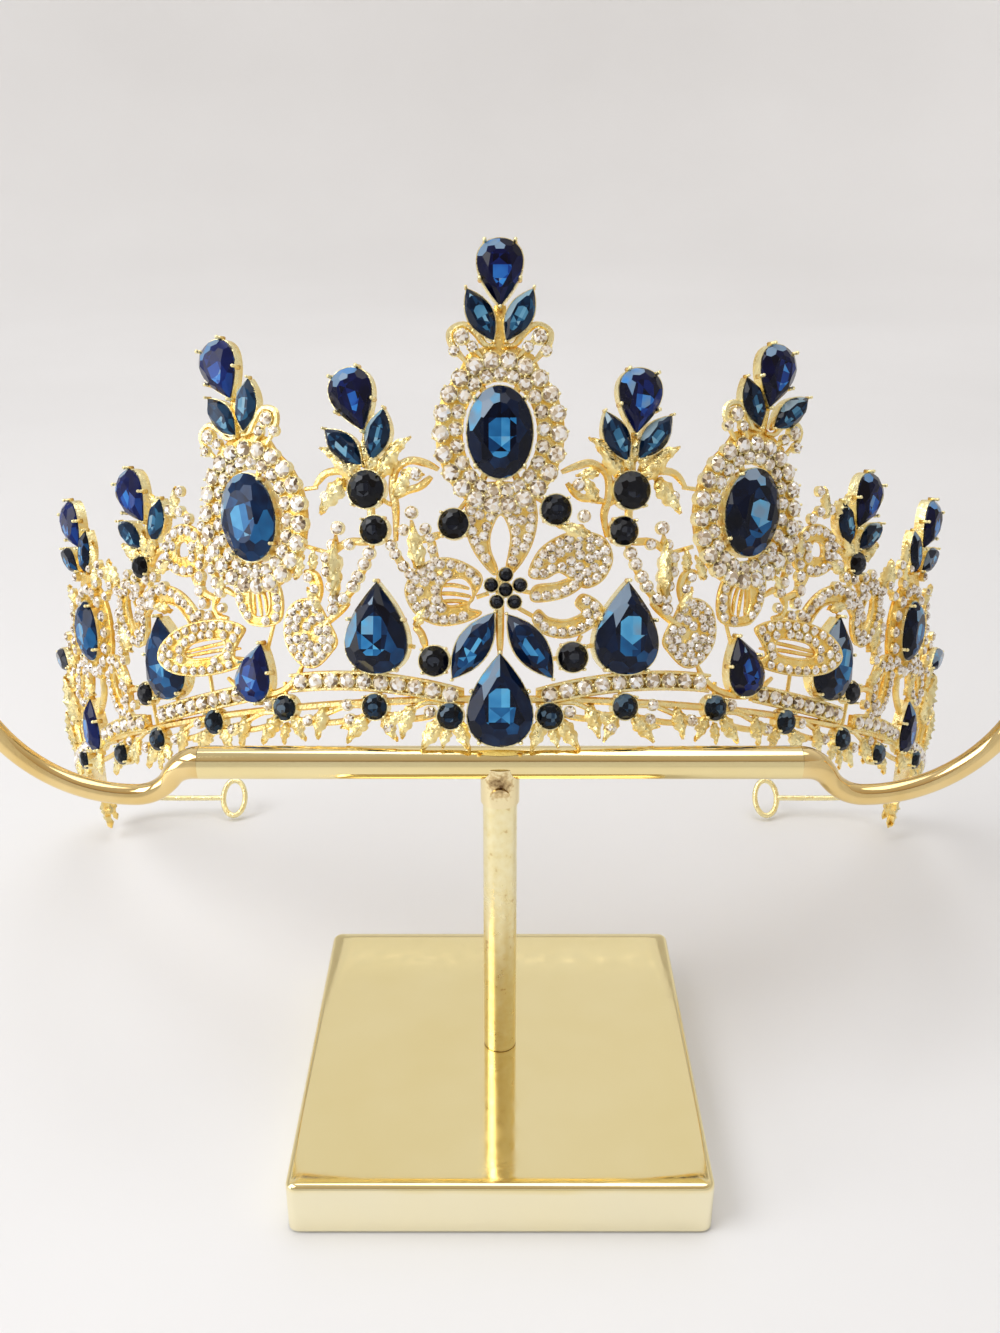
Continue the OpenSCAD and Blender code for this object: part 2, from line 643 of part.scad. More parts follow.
// Stand
module base_plate() {
  inset = 0.5;
  color(pale_gold)
    translate([0, post_y, 0]) {
      rounded_slab(plate_w - 2 * inset, plate_h, 0);
      rounded_slab(plate_w, plate_h - 2 * inset, inset);
    }
}
module rounded_slab(w, h, z) {
  translate([0, 0, z])
    linear_extrude(h)
      union() {
        square([w, w - 2 * plate_corner], center = true);
        square([w - 2 * plate_corner, w], center = true);
        for (x = [-1, 1], y = [-1, 1])
          translate([x * (w / 2 - plate_corner), y * (w / 2 - plate_corner)])
            circle(plate_corner, $fn = 32);
      }
}

joint_gap = 0.02;
bar_z = plate_h + bar_rise;
collar_d = post_d + 0.7;
collar_drop = 6.6;
module post() {
  color(pale_gold)
    translate([0, post_y, plate_h + joint_gap])
      cylinder(h = bar_rise - collar_drop - 2 * joint_gap, d = post_d, $fn = 48);
}

module post_collar() {
  color(pale_gold)
    translate([0, post_y, bar_z])
      union() {
        difference() {
          translate([0, 0, -collar_drop])
            cylinder(h = collar_drop, d = collar_d, $fn = 48);
          rotate([0, 90, 0])
            cylinder(h = collar_d + 2, d = bar_d + 2 * joint_gap, center = true, $fn = 48);
        }
        // Rivet head on the front of the joint
        translate([0, -collar_d / 2 + 0.6, -collar_drop + 2])
          rotate([90, 0, 0])
            cylinder(h = 1, d = 3.2, $fn = 32);
      }
}

module cross_bar() {
  color(pale_gold)
    translate([0, post_y, bar_z])
      rotate([0, 90, 0])
        cylinder(h = 2 * bar_half, d = bar_d, center = true, $fn = 48);
}

// Each arm leaves the bar's end in a short S and sweeps up to a ball
s_turn = 57;
dip_r = 5.5;
rise_r = 7;
sweep_r = 24.3;
sweep_turn = 73.5;
dip_end = [bar_half + joint_gap + dip_r * sin(s_turn), -dip_r * (1 - cos(s_turn))];
rise_mid = dip_end + rise_r * [sin(s_turn), cos(s_turn)];
low_point = rise_mid - [0, rise_r];
sweep_mid = low_point + [0, sweep_r];
ball_at = sweep_mid + sweep_r * [sin(sweep_turn), -cos(sweep_turn)];
module bent_rod(middle, r, start, turn) {
  translate(middle)
    rotate(start)
      rotate_extrude(angle = turn, $fn = 96)
        translate([r, 0])
          circle(d = arm_d, $fn = 32);
}
module arm(side) {
  color(pale_gold)
    translate([0, post_y, bar_z])
      mirror([side < 0 ? 1 : 0, 0, 0])
        rotate([90, 0, 0])
          union() {
            bent_rod([bar_half + joint_gap, -dip_r], dip_r, 90 - s_turn, s_turn);
            bent_rod(rise_mid, rise_r, 270 - s_turn, s_turn);
            bent_rod(sweep_mid, sweep_r, 270, sweep_turn);
            for (p = [dip_end, low_point])
              translate(p)
                sphere(d = arm_d + 0.06, $fn = 48);
            translate(ball_at)
              sphere(d = ball_d, $fn = 48);
          }
}
module arm_left() {
  arm(-1);
}
module arm_right() {
  arm(1);
}

base_plate();
post();
post_collar();
cross_bar();
arm_left();
arm_right();
frame();
for (row = MAIN_STONES) main_stone(row);
side_leaves(-1);  // side_leaves_left
side_leaves(1);  // side_leaves_right
upper_rounds();
band_rounds();
flower_stones();
for (row = HALOS) halo_stones(row);
row_stones();
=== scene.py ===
import math
import random

import bpy
from mathutils import Matrix, Vector


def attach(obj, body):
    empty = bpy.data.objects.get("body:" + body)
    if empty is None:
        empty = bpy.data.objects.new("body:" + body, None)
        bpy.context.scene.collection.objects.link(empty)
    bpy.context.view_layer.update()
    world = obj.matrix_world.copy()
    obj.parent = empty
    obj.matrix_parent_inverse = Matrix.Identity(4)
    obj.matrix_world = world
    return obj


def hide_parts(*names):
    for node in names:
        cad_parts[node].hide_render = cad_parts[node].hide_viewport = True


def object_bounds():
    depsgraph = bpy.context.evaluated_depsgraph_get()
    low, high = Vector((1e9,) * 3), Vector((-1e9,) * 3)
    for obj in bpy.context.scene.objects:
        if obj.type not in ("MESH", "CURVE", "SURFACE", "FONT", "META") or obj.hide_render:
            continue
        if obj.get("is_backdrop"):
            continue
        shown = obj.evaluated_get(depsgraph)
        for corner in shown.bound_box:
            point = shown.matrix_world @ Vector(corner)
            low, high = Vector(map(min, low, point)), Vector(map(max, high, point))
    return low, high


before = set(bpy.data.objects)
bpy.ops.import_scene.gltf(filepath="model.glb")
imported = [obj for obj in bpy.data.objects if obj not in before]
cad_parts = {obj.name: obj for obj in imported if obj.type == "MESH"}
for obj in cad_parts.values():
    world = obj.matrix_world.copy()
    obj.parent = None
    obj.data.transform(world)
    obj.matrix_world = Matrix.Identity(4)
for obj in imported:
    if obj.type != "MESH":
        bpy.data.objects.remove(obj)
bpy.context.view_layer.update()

# The studio: a plain pale bowl of a floor that turns up far from the object, a high soft window light from
# the upper left with a fill below it, and the camera at the photograph's angle, 15 cm in front of the stand.
FLOOR_R, FLOOR_DROP = 0.9, 0.0004
BOWL_STEPS = ((1.15, 0.02), (1.12, 0.06), (1.09, 0.1), (1.06, 0.14), (1.03, 0.2), (1.01, 0.35))
PHOTO_HALF_HIGH, FOCAL, CAMERA_AT, CAMERA_TIP = 666.5, 1285, (0, -0.2079, 0.157), 66.24


def unselect():
    if bpy.context.object and bpy.context.object.mode != "OBJECT":
        bpy.ops.object.mode_set(mode="OBJECT")
    bpy.ops.object.select_all(action="DESELECT")


def shader_of(name):
    made = bpy.data.materials.new(name)
    made.use_nodes = True
    return made, made.node_tree, made.node_tree.nodes["Principled BSDF"]


def ramp(tree, source, stops):
    colours = tree.nodes.new("ShaderNodeValToRGB")
    band = colours.color_ramp
    while len(band.elements) < len(stops):
        band.elements.new(0.5)
    for element, (place_in_band, colour) in zip(band.elements, stops):
        element.position = place_in_band
        element.color = (*colour, 1)
    tree.links.new(source, colours.inputs["Fac"])
    return colours.outputs["Color"]


def cloud_group():
    """Soft uneven patches over a surface: a mask from 0 to 1."""
    group = bpy.data.node_groups.new("uneven_patches", "ShaderNodeTree")
    for socket, value in (("Scale", 100.0), ("Detail", 2.0)):
        made = group.interface.new_socket(socket, in_out="INPUT", socket_type="NodeSocketFloat")
        made.default_value = value
    group.interface.new_socket("Mask", in_out="OUTPUT", socket_type="NodeSocketFloat")
    into, out = group.nodes.new("NodeGroupInput"), group.nodes.new("NodeGroupOutput")
    where = group.nodes.new("ShaderNodeTexCoord")
    noise = group.nodes.new("ShaderNodeTexNoise")
    spread = group.nodes.new("ShaderNodeMapRange")
    spread.inputs["From Min"].default_value = 0.3
    spread.inputs["From Max"].default_value = 0.7
    group.links.new(where.outputs["Object"], noise.inputs["Vector"])
    group.links.new(into.outputs["Scale"], noise.inputs["Scale"])
    group.links.new(into.outputs["Detail"], noise.inputs["Detail"])
    group.links.new(noise.outputs["Fac"], spread.inputs["Value"])
    group.links.new(spread.outputs["Result"], out.inputs["Mask"])
    return group


UNEVEN = cloud_group()


def uneven(tree, scale, detail):
    """Soft patches, the smaller the larger their scale."""
    mask = tree.nodes.new("ShaderNodeGroup")
    mask.node_tree = UNEVEN
    mask.inputs["Scale"].default_value = scale
    mask.inputs["Detail"].default_value = detail
    return mask.outputs["Mask"]


def extrude_up(height):
    bpy.ops.mesh.extrude_region_move(TRANSFORM_OT_translate={"value": (0, 0, height)})


def put(name, data):
    """A new object in the scene."""
    made = bpy.data.objects.new(name, data)
    bpy.context.scene.collection.objects.link(made)
    return made


floor_paint, tree, shader = shader_of("floor_paint")
floor_tones = [(0, (0.78, 0.782, 0.785)), (1, (0.83, 0.834, 0.84))]
tree.links.new(ramp(tree, uneven(tree, 3.0, 4.0), floor_tones), shader.inputs["Base Color"])
shader.inputs["Roughness"].default_value = 0.55

unselect()
bpy.ops.mesh.primitive_circle_add(
    vertices=96, radius=FLOOR_R, fill_type="NGON", location=(0, 0, -FLOOR_DROP)
)
floor = bpy.context.object
floor.name = "floor"
bpy.ops.object.mode_set(mode="EDIT")
for grow, lift in BOWL_STEPS:
    extrude_up(lift)
    bpy.ops.transform.resize(value=(grow, grow, 1))
bpy.ops.mesh.delete(type="ONLY_FACE")
bpy.ops.mesh.select_all(action="SELECT")
bpy.ops.mesh.normals_make_consistent(inside=True)
bpy.ops.object.mode_set(mode="OBJECT")
bpy.ops.object.shade_smooth()
floor.data.materials.append(floor_paint)
floor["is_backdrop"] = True


def soft_light(name, place_at, aim, size, power, colour):
    lamp = bpy.data.lights.new(name, "AREA")
    lamp.shape = "RECTANGLE"
    lamp.size, lamp.size_y = size
    lamp.energy = power
    lamp.color = colour
    holder = put(name, lamp)
    holder.location = place_at
    holder.rotation_euler = (Vector(aim) - Vector(place_at)).to_track_quat("-Z", "Y").to_euler()


soft_light("window_light", (-0.55, -0.25, 0.75), (0, 0, 0.08), (0.55, 0.45), 3.5, (0.97, 0.98, 1.0))
soft_light("top_light", (0.1, 0.1, 1.0), (0, 0, 0.05), (0.7, 0.5), 2.2, (0.97, 0.98, 1.0))
soft_light("side_fill", (-0.72, -0.28, 0.24), (0, 0, 0.08), (0.35, 0.35), 1.2, (0.98, 0.98, 1.0))
soft_light("wall_light", (0, 0.72, 0.55), (0, 1.05, 0.1), (1.6, 0.3), 1.6, (0.97, 0.98, 1.0))

# The room itself is dim and warm on the near side and bright beyond the object, where its pale wall is.
room = bpy.data.worlds.new("pale_room")
room.use_nodes = True
bpy.context.scene.world = room
toward = room.node_tree.nodes.new("ShaderNodeTexCoord")
parts = room.node_tree.nodes.new("ShaderNodeSeparateXYZ")
room.node_tree.links.new(toward.outputs["Generated"], parts.inputs["Vector"])
beyond = room.node_tree.nodes.new("ShaderNodeMapRange")
beyond.inputs["From Min"].default_value = -1
room.node_tree.links.new(parts.outputs["Y"], beyond.inputs["Value"])
sky = room.node_tree.nodes["Background"]
room_tones = [
    (0.04, (0.12, 0.07, 0.03)), (0.15, (0.50, 0.41, 0.31)), (0.45, (0.55, 0.52, 0.50)),
    (0.8, (0.80, 0.78, 0.78)),
]
room.node_tree.links.new(ramp(room.node_tree, beyond.outputs["Result"], room_tones), sky.inputs["Color"])
sky.inputs["Strength"].default_value = 1.0
bpy.context.scene.view_settings.view_transform = "Standard"

lens = bpy.data.cameras.new("camera")
lens.sensor_fit = "VERTICAL"
lens.angle = 2 * math.atan(PHOTO_HALF_HIGH / FOCAL)
lens.clip_start = 0.005
camera = put("camera", lens)
camera.location = CAMERA_AT
camera.rotation_euler = (math.radians(CAMERA_TIP), 0, 0)
bpy.context.scene.camera = camera

# The cross bar: a straight steel rod that the tiara rests on, plated in a pale gold and polished. It is the
# part's own solid, like the post and the collar, with a finish of its own.
def bump(tree, height, shader, strength, distance):
    made = tree.nodes.new("ShaderNodeBump")
    made.inputs["Strength"].default_value = strength
    made.inputs["Distance"].default_value = distance
    tree.links.new(height, made.inputs["Height"])
    tree.links.new(made.outputs["Normal"], shader.inputs["Normal"])


def spread_to(tree, mask, socket, low, high):
    spread = tree.nodes.new("ShaderNodeMapRange")
    spread.inputs["To Min"].default_value = low
    spread.inputs["To Max"].default_value = high
    tree.links.new(mask, spread.inputs["Value"])
    tree.links.new(spread.outputs["Result"], socket)


def plated(tree, shader, tone, stops, gloss, low, high):
    """A metal skin: the tone mask sets its colour, and the gloss mask its roughness between low and high."""
    tree.links.new(ramp(tree, tone, stops), shader.inputs["Base Color"])
    shader.inputs["Metallic"].default_value = 1
    spread_to(tree, gloss, shader.inputs["Roughness"], low, high)


def finish_solid(node_name, finish):
    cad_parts[node_name].data.materials.clear()
    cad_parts[node_name].data.materials.append(finish)


plating, tree, shader = shader_of("stand_plating")
bar_tones = [(0, (0.89, 0.74, 0.37)), (1, (0.93, 0.79, 0.43))]
plated(tree, shader, uneven(tree, 60, 3), bar_tones, uneven(tree, 350, 4), 0.05, 0.13)
bump(tree, uneven(tree, 150, 1), shader, 0.005, 0.0001)
finish_solid("cross_bar", plating)

# The post: a turned steel rod that stands in the plate. Its plating is speckled, painted dark as painted
# shade in the seam at the plate, and duller in its lower half, which hands have rubbed.
SEAM_LOW, SEAM_HIGH, RUBBED_LOW, RUBBED_HIGH = 0.0090, 0.0096, 0.034, 0.050


def up_from(tree, low, high):
    """A mask that goes from 0 at the height low to 1 at the height high."""
    where = tree.nodes.new("ShaderNodeTexCoord")
    apart = tree.nodes.new("ShaderNodeSeparateXYZ")
    spread = tree.nodes.new("ShaderNodeMapRange")
    spread.inputs["From Min"].default_value = low
    spread.inputs["From Max"].default_value = high
    tree.links.new(where.outputs["Object"], apart.inputs["Vector"])
    tree.links.new(apart.outputs["Z"], spread.inputs["Value"])
    return spread.outputs["Result"]


def worked(tree, operation, first, second):
    """The sum or product of two masks, or of a mask and a number."""
    made = tree.nodes.new("ShaderNodeMath")
    made.operation = operation
    for socket, value in zip(made.inputs, (first, second)):
        if isinstance(value, float):
            socket.default_value = value
        else:
            tree.links.new(value, socket)
    return made.outputs["Value"]


def mixed_in(tree, scale, detail, share, mask):
    """The mask with a share of uneven patches added to it."""
    return worked(tree, "ADD", worked(tree, "MULTIPLY", uneven(tree, scale, detail), share), mask)


rod_plating, tree, shader = shader_of("rod_plating")
speckle = worked(tree, "ADD", uneven(tree, 700, 5), 0.15)
# painted shade: the speckled plating is painted dark just above the plate, where the post meets it
seam_shaded = worked(tree, "MULTIPLY", speckle, up_from(tree, SEAM_LOW, SEAM_HIGH))
rubbed = worked(tree, "MULTIPLY", up_from(tree, RUBBED_HIGH, RUBBED_LOW), 0.2)
post_tones = [
    (0, (0.22, 0.14, 0.05)), (0.14, (0.72, 0.54, 0.26)), (0.27, (0.90, 0.78, 0.42)), (1, (0.95, 0.86, 0.54))
]
plated(tree, shader, seam_shaded, post_tones, mixed_in(tree, 500, 4, 0.14, rubbed), 0.06, 1.06)
finish_solid("post", rod_plating)

# The collar: a short pressed tube that holds the bar on the post with a rivet. Round the rivet it is painted
# dark brown, a painted reflection of the dark stone over it.
RIVET_AT, DARK_REFLECTION_R = (0, -0.0345, 0.0608), 0.0042
collar_plating, tree, shader = shader_of("collar_plating")
here = tree.nodes.new("ShaderNodeTexCoord")
off = tree.nodes.new("ShaderNodeVectorMath")
off.operation = "DISTANCE"
off.inputs[1].default_value = RIVET_AT
tree.links.new(here.outputs["Object"], off.inputs[0])
# painted reflection: dark brown near the rivet, fading out to the plating's own colour
rivet_reflection = tree.nodes.new("ShaderNodeMapRange")
rivet_reflection.inputs["From Max"].default_value = DARK_REFLECTION_R
rivet_reflection.inputs["To Min"].default_value = -0.3
tree.links.new(off.outputs["Value"], rivet_reflection.inputs["Value"])
rivet_reflection_mask = mixed_in(tree, 1500, 3, 0.5, rivet_reflection.outputs["Result"])
collar_tones = [(0, (0.16, 0.09, 0.04)), (0.45, (0.70, 0.52, 0.26)), (0.7, (0.93, 0.80, 0.48))]
plated(tree, shader, rivet_reflection_mask, collar_tones, uneven(tree, 500, 4), 0.08, 0.22)
finish_solid("post_collar", collar_plating)

# The plate: pressed from steel sheet, so that its top rolls off softly, most of all towards the front. Its
# upright sides are painted paler than its top, a painted reflection of the bright room that they face.
MM = 0.001
MAIN_BODY = "root"
PLATE_HALF, PLATE_HIGH, PLATE_Y, CORNER_R, EDGE_R = 32.3, 8.7, -31.68, 1.8, 1.0
ROLL, ROLL_Y, ROLL_STEPS = 2.2, -14.5, ((0.35, 0.17), (0.65, 0.12), (0.4, 0))
SIDE_SHEEN_LOW, SIDE_SHEEN_HIGH = 0.0072, 0.0087
plate_plating, tree, shader = shader_of("plate_plating")
# painted reflection: the tone rises from the pale upright sides to the deeper gold of the top
raised_tone = mixed_in(tree, 60, 3, 0.3, worked(tree, "MULTIPLY", up_from(tree, SIDE_SHEEN_LOW, SIDE_SHEEN_HIGH), 0.7))
plate_tones = [
    (0, (0.93, 0.86, 0.62)), (0.3, (0.94, 0.86, 0.60)), (0.7, (0.89, 0.75, 0.38)), (1, (0.92, 0.79, 0.43))
]
plated(tree, shader, raised_tone, plate_tones, uneven(tree, 350, 4), 0.05, 0.13)
bump(tree, uneven(tree, 150, 1), shader, 0.005, 0.0001)


def pick(piece, kind, wanted):
    """Leaves only the wanted edges or faces of the piece selected, in edit mode."""
    bpy.ops.object.mode_set(mode="EDIT")
    bpy.ops.mesh.select_mode(type=kind)
    bpy.ops.mesh.select_all(action="DESELECT")
    bpy.ops.object.mode_set(mode="OBJECT")
    for part in piece.data.edges if kind == "EDGE" else piece.data.polygons:
        part.select = wanted(part)
    bpy.ops.object.mode_set(mode="EDIT")


def finish_piece(piece, name, finish, slot, *nodes):
    piece.name = name
    piece.data.name = name
    piece.data.materials.clear()
    piece.data.materials.append(finish)
    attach(piece, MAIN_BODY)
    if nodes:
        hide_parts(*nodes)
    return piece


unselect()
bpy.ops.mesh.primitive_cube_add(size=1, location=(0, 0, 0))
plate = bpy.context.object
for vertex in plate.data.vertices:
    x, y, z = vertex.co
    vertex.co = (x * 2 * PLATE_HALF, y * 2 * PLATE_HALF + PLATE_Y, (z + 0.5) * PLATE_HIGH)


def heights(edge):
    return [plate.data.vertices[i].co.z for i in edge.vertices]


def on_top(z):
    return z > PLATE_HIGH - 0.01


pick(plate, "EDGE", lambda edge: abs(heights(edge)[0] - heights(edge)[1]) > 1)
bpy.ops.mesh.bevel(offset=CORNER_R, segments=6)
pick(plate, "EDGE", lambda edge: on_top(min(heights(edge))))
bpy.ops.mesh.bevel(offset=EDGE_R, segments=5)
pick(plate, "FACE", lambda face: on_top(face.center.z) and face.area > 1000)
for share, rise in ROLL_STEPS:
    narrowed = 1 - ROLL * share / (PLATE_HALF - EDGE_R)
    extrude_up(rise)
    bpy.ops.transform.resize(value=(narrowed, narrowed, 1), center_override=(0, ROLL_Y, PLATE_HIGH))
bpy.ops.object.mode_set(mode="OBJECT")
bpy.ops.object.shade_smooth_by_angle(angle=math.radians(50))
plate.data.transform(Matrix.Scale(MM, 4))
finish_piece(plate, "pressed_plate", plate_plating, "stand_metal", "base_plate")

# The arms: each leaves the bar's end in a short S, drawn down from the bar's width, and sweeps up to a ball.
# They are bent from one smooth steel rod, painted deeper than the bar as a painted reflection of the tiara.
BAR_END, BAR_Z, ARM_R, BALL_R, DRAWN, DRAWN_STEPS = 46.5, 63.2, 1.65, 3.2, 0.56, 20
S_TURN, DIP_R, RISE_R, SWEEP_R, SWEEP_TURN = 57, 5.5, 7.0, 24.3, 73.5
S_STEPS, SWEEP_STEPS = 16, 48
arm_plating, tree, shader = shader_of("arm_plating")
# painted reflection: the arms carry the bar's plating, painted a deeper gold for the tiara they reflect
arm_reflection_tones = [(0, (0.80, 0.57, 0.22)), (1, (0.92, 0.72, 0.36))]
plated(tree, shader, uneven(tree, 90, 3), arm_reflection_tones, uneven(tree, 350, 4), 0.05, 0.14)


def curve_of(name, thick, rounds, dimensions="3D"):
    """An empty curve that will be as thick as that all round, with its ends closed."""
    curve = bpy.data.curves.new(name, "CURVE")
    curve.dimensions = dimensions
    curve.bevel_depth = thick
    curve.bevel_resolution = rounds
    curve.use_fill_caps = dimensions == "3D"
    return curve


def add_line(curve, places, closed, width=lambda i: 1.0):
    """Adds a line through the places to the curve, each with its own share of the curve's thickness."""
    spline = curve.splines.new("POLY")
    spline.points.add(len(places) - 1)
    spline.use_cyclic_u = closed
    for i, (dot, at) in enumerate(zip(spline.points, places)):
        dot.co = (*at, 1)
        dot.radius = width(i)


def meshed(name, curve):
    """The curve as a mesh, active and alone selected."""
    made = put(name, curve)
    unselect()
    made.select_set(True)
    bpy.context.view_layer.objects.active = made
    bpy.ops.object.convert(target="MESH")
    return made


def rod(name, lines, r, around, drawn=0.0):
    """A smooth round rod along lines of points, each given with whether it closes on itself.

    The first points are wider by the share drawn, and the rod narrows evenly after them."""
    curve = curve_of(name, r, around // 2 - 2)

    def width(i):
        near = max(0, 1 - i / DRAWN_STEPS)
        return 1 + drawn * near * near * (3 - 2 * near)

    for line, closed in lines:
        add_line(curve, line, closed, width)
    made = meshed(name, curve)
    bpy.ops.object.shade_smooth()
    return made


def arc(middle, r, start, turn, steps):
    angles = [math.radians(start + turn * i / steps) for i in range(steps + 1)]
    return [middle + r * Vector((math.cos(a), math.sin(a))) for a in angles]


def joined(pieces):
    """One piece of all of them, in the place of the first."""
    unselect()
    for one in pieces:
        one.select_set(True)
    bpy.context.view_layer.objects.active = pieces[0]
    if len(pieces) > 1:
        bpy.ops.object.join()
    return pieces[0]


dip = arc(Vector((BAR_END, -DIP_R)), DIP_R, 90, -S_TURN, S_STEPS)
rise_mid = dip[-1] + RISE_R * Vector((math.sin(math.radians(S_TURN)), math.cos(math.radians(S_TURN))))
up_again = arc(rise_mid, RISE_R, 270 - S_TURN, S_TURN, S_STEPS)
sweep = arc(up_again[-1] + Vector((0, SWEEP_R)), SWEEP_R, 270, SWEEP_TURN, SWEEP_STEPS)
for side, word in ((-1, "left"), (1, "right")):
    bent = [(side * x * MM, PLATE_Y * MM, (BAR_Z + z) * MM) for x, z in [*dip, *up_again[1:], *sweep[1:]]]
    arm = rod("bent_arm_" + word, [(bent, False)], ARM_R * MM, 32, DRAWN)
    bpy.ops.mesh.primitive_uv_sphere_add(segments=40, ring_count=24, radius=BALL_R * MM, location=(0, 0, 0))
    ball = bpy.context.object
    ball.data.transform(Matrix.Translation(bent[-1]))
    bpy.ops.object.shade_smooth()
    finish_piece(joined([arm, ball]), "bent_arm_" + word, arm_plating, "stand_metal", "arm_" + word)

# The shape of the tiara: its foot is an arch that is rounder in front than at the sides, and its wall leans
# outwards. A place on it is s, the length along the foot from the front, t, the height up the wall, and n,
# out of the wall.
FRONT_R, FRONT_HALF, SIDE_R, BAND_HALF = 77.0, 48.0, 110.0, 152.0
FLARE, TILT = math.radians(13.5), math.radians(36)
PLATE_TOP, FOOT_RISE, FOOT_Y = 9.0, 58.45, -32.78


def heading(s):
    front = min(abs(s), FRONT_HALF)
    return math.copysign(front / FRONT_R + (abs(s) - front) / SIDE_R, s)


def lay(s):
    """The turn that sets x along the band, y up the wall and z out of it."""
    return (
        Matrix.Rotation(-TILT, 4, "X")
        @ Matrix.Rotation(heading(s), 4, "Z")
        @ Matrix.Rotation(math.pi / 2 + FLARE, 4, "X")
    )


def place(s, t, n=0.0):
    a, b = abs(heading(s)), min(abs(heading(s)), FRONT_HALF / FRONT_R)
    foot = Vector((
        math.copysign(FRONT_R * math.sin(b) + SIDE_R * (math.sin(a) - math.sin(b)), s),
        FRONT_R * (1 - math.cos(b)) + SIDE_R * (math.cos(b) - math.cos(a)),
        0,
    ))
    foot.rotate(Matrix.Rotation(-TILT, 3, "X"))
    return (foot + lay(s) @ Vector((0, t, n)) + Vector((0, FOOT_Y, PLATE_TOP + FOOT_RISE))) * MM


def seat(s, t, turn=0.0, n=0.0, size=(1, 1, 1)):
    """Where a piece that was modelled in millimetres, facing up, sits on the wall."""
    return (
        Matrix.Translation(place(s, t, n))
        @ lay(s)
        @ Matrix.Rotation(math.radians(turn), 4, "Z")
        @ Matrix.Diagonal((size[0] * MM, size[1] * MM, size[2] * MM, 1))
    )


def spread_at(s, t):
    """How much wider the leaning wall is at t than at its foot."""
    return 1 + t * math.sin(FLARE) / (FRONT_R if abs(s) < FRONT_HALF else SIDE_R)


def spot(s, t, x, y, turn=0.0):
    """The place x across and y up from (s, t), in millimetres of the wall itself, turned about it."""
    a = math.radians(turn)
    across, up = x * math.cos(a) - y * math.sin(a), x * math.sin(a) + y * math.cos(a)
    return (s + across / spread_at(s, t), t + up)


# Blue stones: flat-topped pears, ovals and marquises of dark blue glass with a foiled back. Each cut is
# ground once from a slab of its outline with flat planes, as a lapidary does, and set at its own size.
GIRDLE_SHARE, SLAB_FOOT = 0.4, 0.05
STAR_IN, STAR_SLOPE, BREAK_AT, BREAK_TIP = 0.62, 0.55, 0.27, 14


def pear_edge(k, w, h):
    a = math.tau * k
    return (-w / 2 / 0.77 * math.sin(a) * math.sin(a / 2), h / 2 * math.cos(a))


def oval_edge(k, w, h):
    return (-w / 2 * math.sin(math.tau * k), h / 2 * math.cos(math.tau * k))


def leaf_edge(k, w, h):
    a = math.tau * k
    return (-w / 2 * math.copysign(math.sin(a) ** 2, math.sin(a)), h / 2 * math.cos(a))


def rise_of(w):
    return 0.6 + 0.24 * w


BACK_CUTS = (
    (0, (-0.17, 0.02, 0.15)),
    (90, (-0.2, -0.04, 0.16)),
    (52, (-0.12, 0.2)),
    (128, (-0.14, 0.17)),
)


def close_shell(merge):
    """Merges points nearer than merge, on the piece in edit mode, and turns its faces outwards."""
    bpy.ops.mesh.select_all(action="SELECT")
    bpy.ops.mesh.remove_doubles(threshold=merge)
    bpy.ops.mesh.normals_make_consistent(inside=False)


def grind(name, edge, w, h, mains, shift, corners=40):
    """A stone w by h, with the number of main facets given and its table in by shift from the girdle."""
    rise = rise_of(w)
    girdle, crown = GIRDLE_SHARE * rise, (1 - GIRDLE_SHARE) * rise
    outline = [Vector(edge(i / corners, w, h)) for i in range(corners)]
    unselect()
    bpy.ops.mesh.primitive_circle_add(vertices=corners, radius=1, fill_type="NGON")
    stone = bpy.context.object
    for vertex, point in zip(stone.data.vertices, outline):
        vertex.co = (point.x, point.y, SLAB_FOOT)
    bpy.ops.object.mode_set(mode="EDIT")
    bpy.ops.mesh.select_all(action="SELECT")
    extrude_up(rise - SLAB_FOOT)
    close_shell(0.001)

    def reach(a):
        return max(p.x * math.cos(a) + p.y * math.sin(a) for p in outline)

    def facet(a, slope, point):
        bpy.ops.mesh.select_all(action="SELECT")
        up = math.radians(slope)
        bpy.ops.mesh.bisect(
            plane_co=point,
            plane_no=(math.cos(a) * math.sin(up), math.sin(a) * math.sin(up), math.cos(up)),
            use_fill=True,
            clear_outer=True,
        )

    step = math.tau / mains
    slope = math.degrees(math.atan2(crown, shift))
    for i in range(mains):
        a = math.pi / 2 + step * i
        facet(a, slope, (reach(a) * math.cos(a), reach(a) * math.sin(a), girdle))
    for i in range(mains):
        a, b = math.pi / 2 + step * i, math.pi / 2 + step * (i + 1)
        inward = STAR_IN * shift
        ra, rb, det = reach(a) - inward, reach(b) - inward, math.sin(b - a)
        corner = ((ra * math.sin(b) - rb * math.sin(a)) / det, (rb * math.cos(a) - ra * math.cos(b)) / det)
        facet((a + b) / 2, slope * STAR_SLOPE, (*corner, girdle + STAR_IN * crown))
        for c in (a + step * BREAK_AT, b - step * BREAK_AT):
            facet(c, slope + BREAK_TIP, (reach(c) * math.cos(c), reach(c) * math.sin(c), girdle))
    # The facets of the back show through the table as a mosaic
    for way, offsets in BACK_CUTS:
        along = Vector((math.cos(math.radians(way)), math.sin(math.radians(way)), 0))
        for off in offsets:
            pick(stone, "FACE", lambda face: face.normal.z > 0.999)
            bpy.ops.mesh.bisect(
                plane_co=(off * w * along.x, off * h * along.y - 0.03 * h, 0), plane_no=along
            )
    bpy.ops.object.mode_set(mode="OBJECT")
    stone.name = name
    return stone


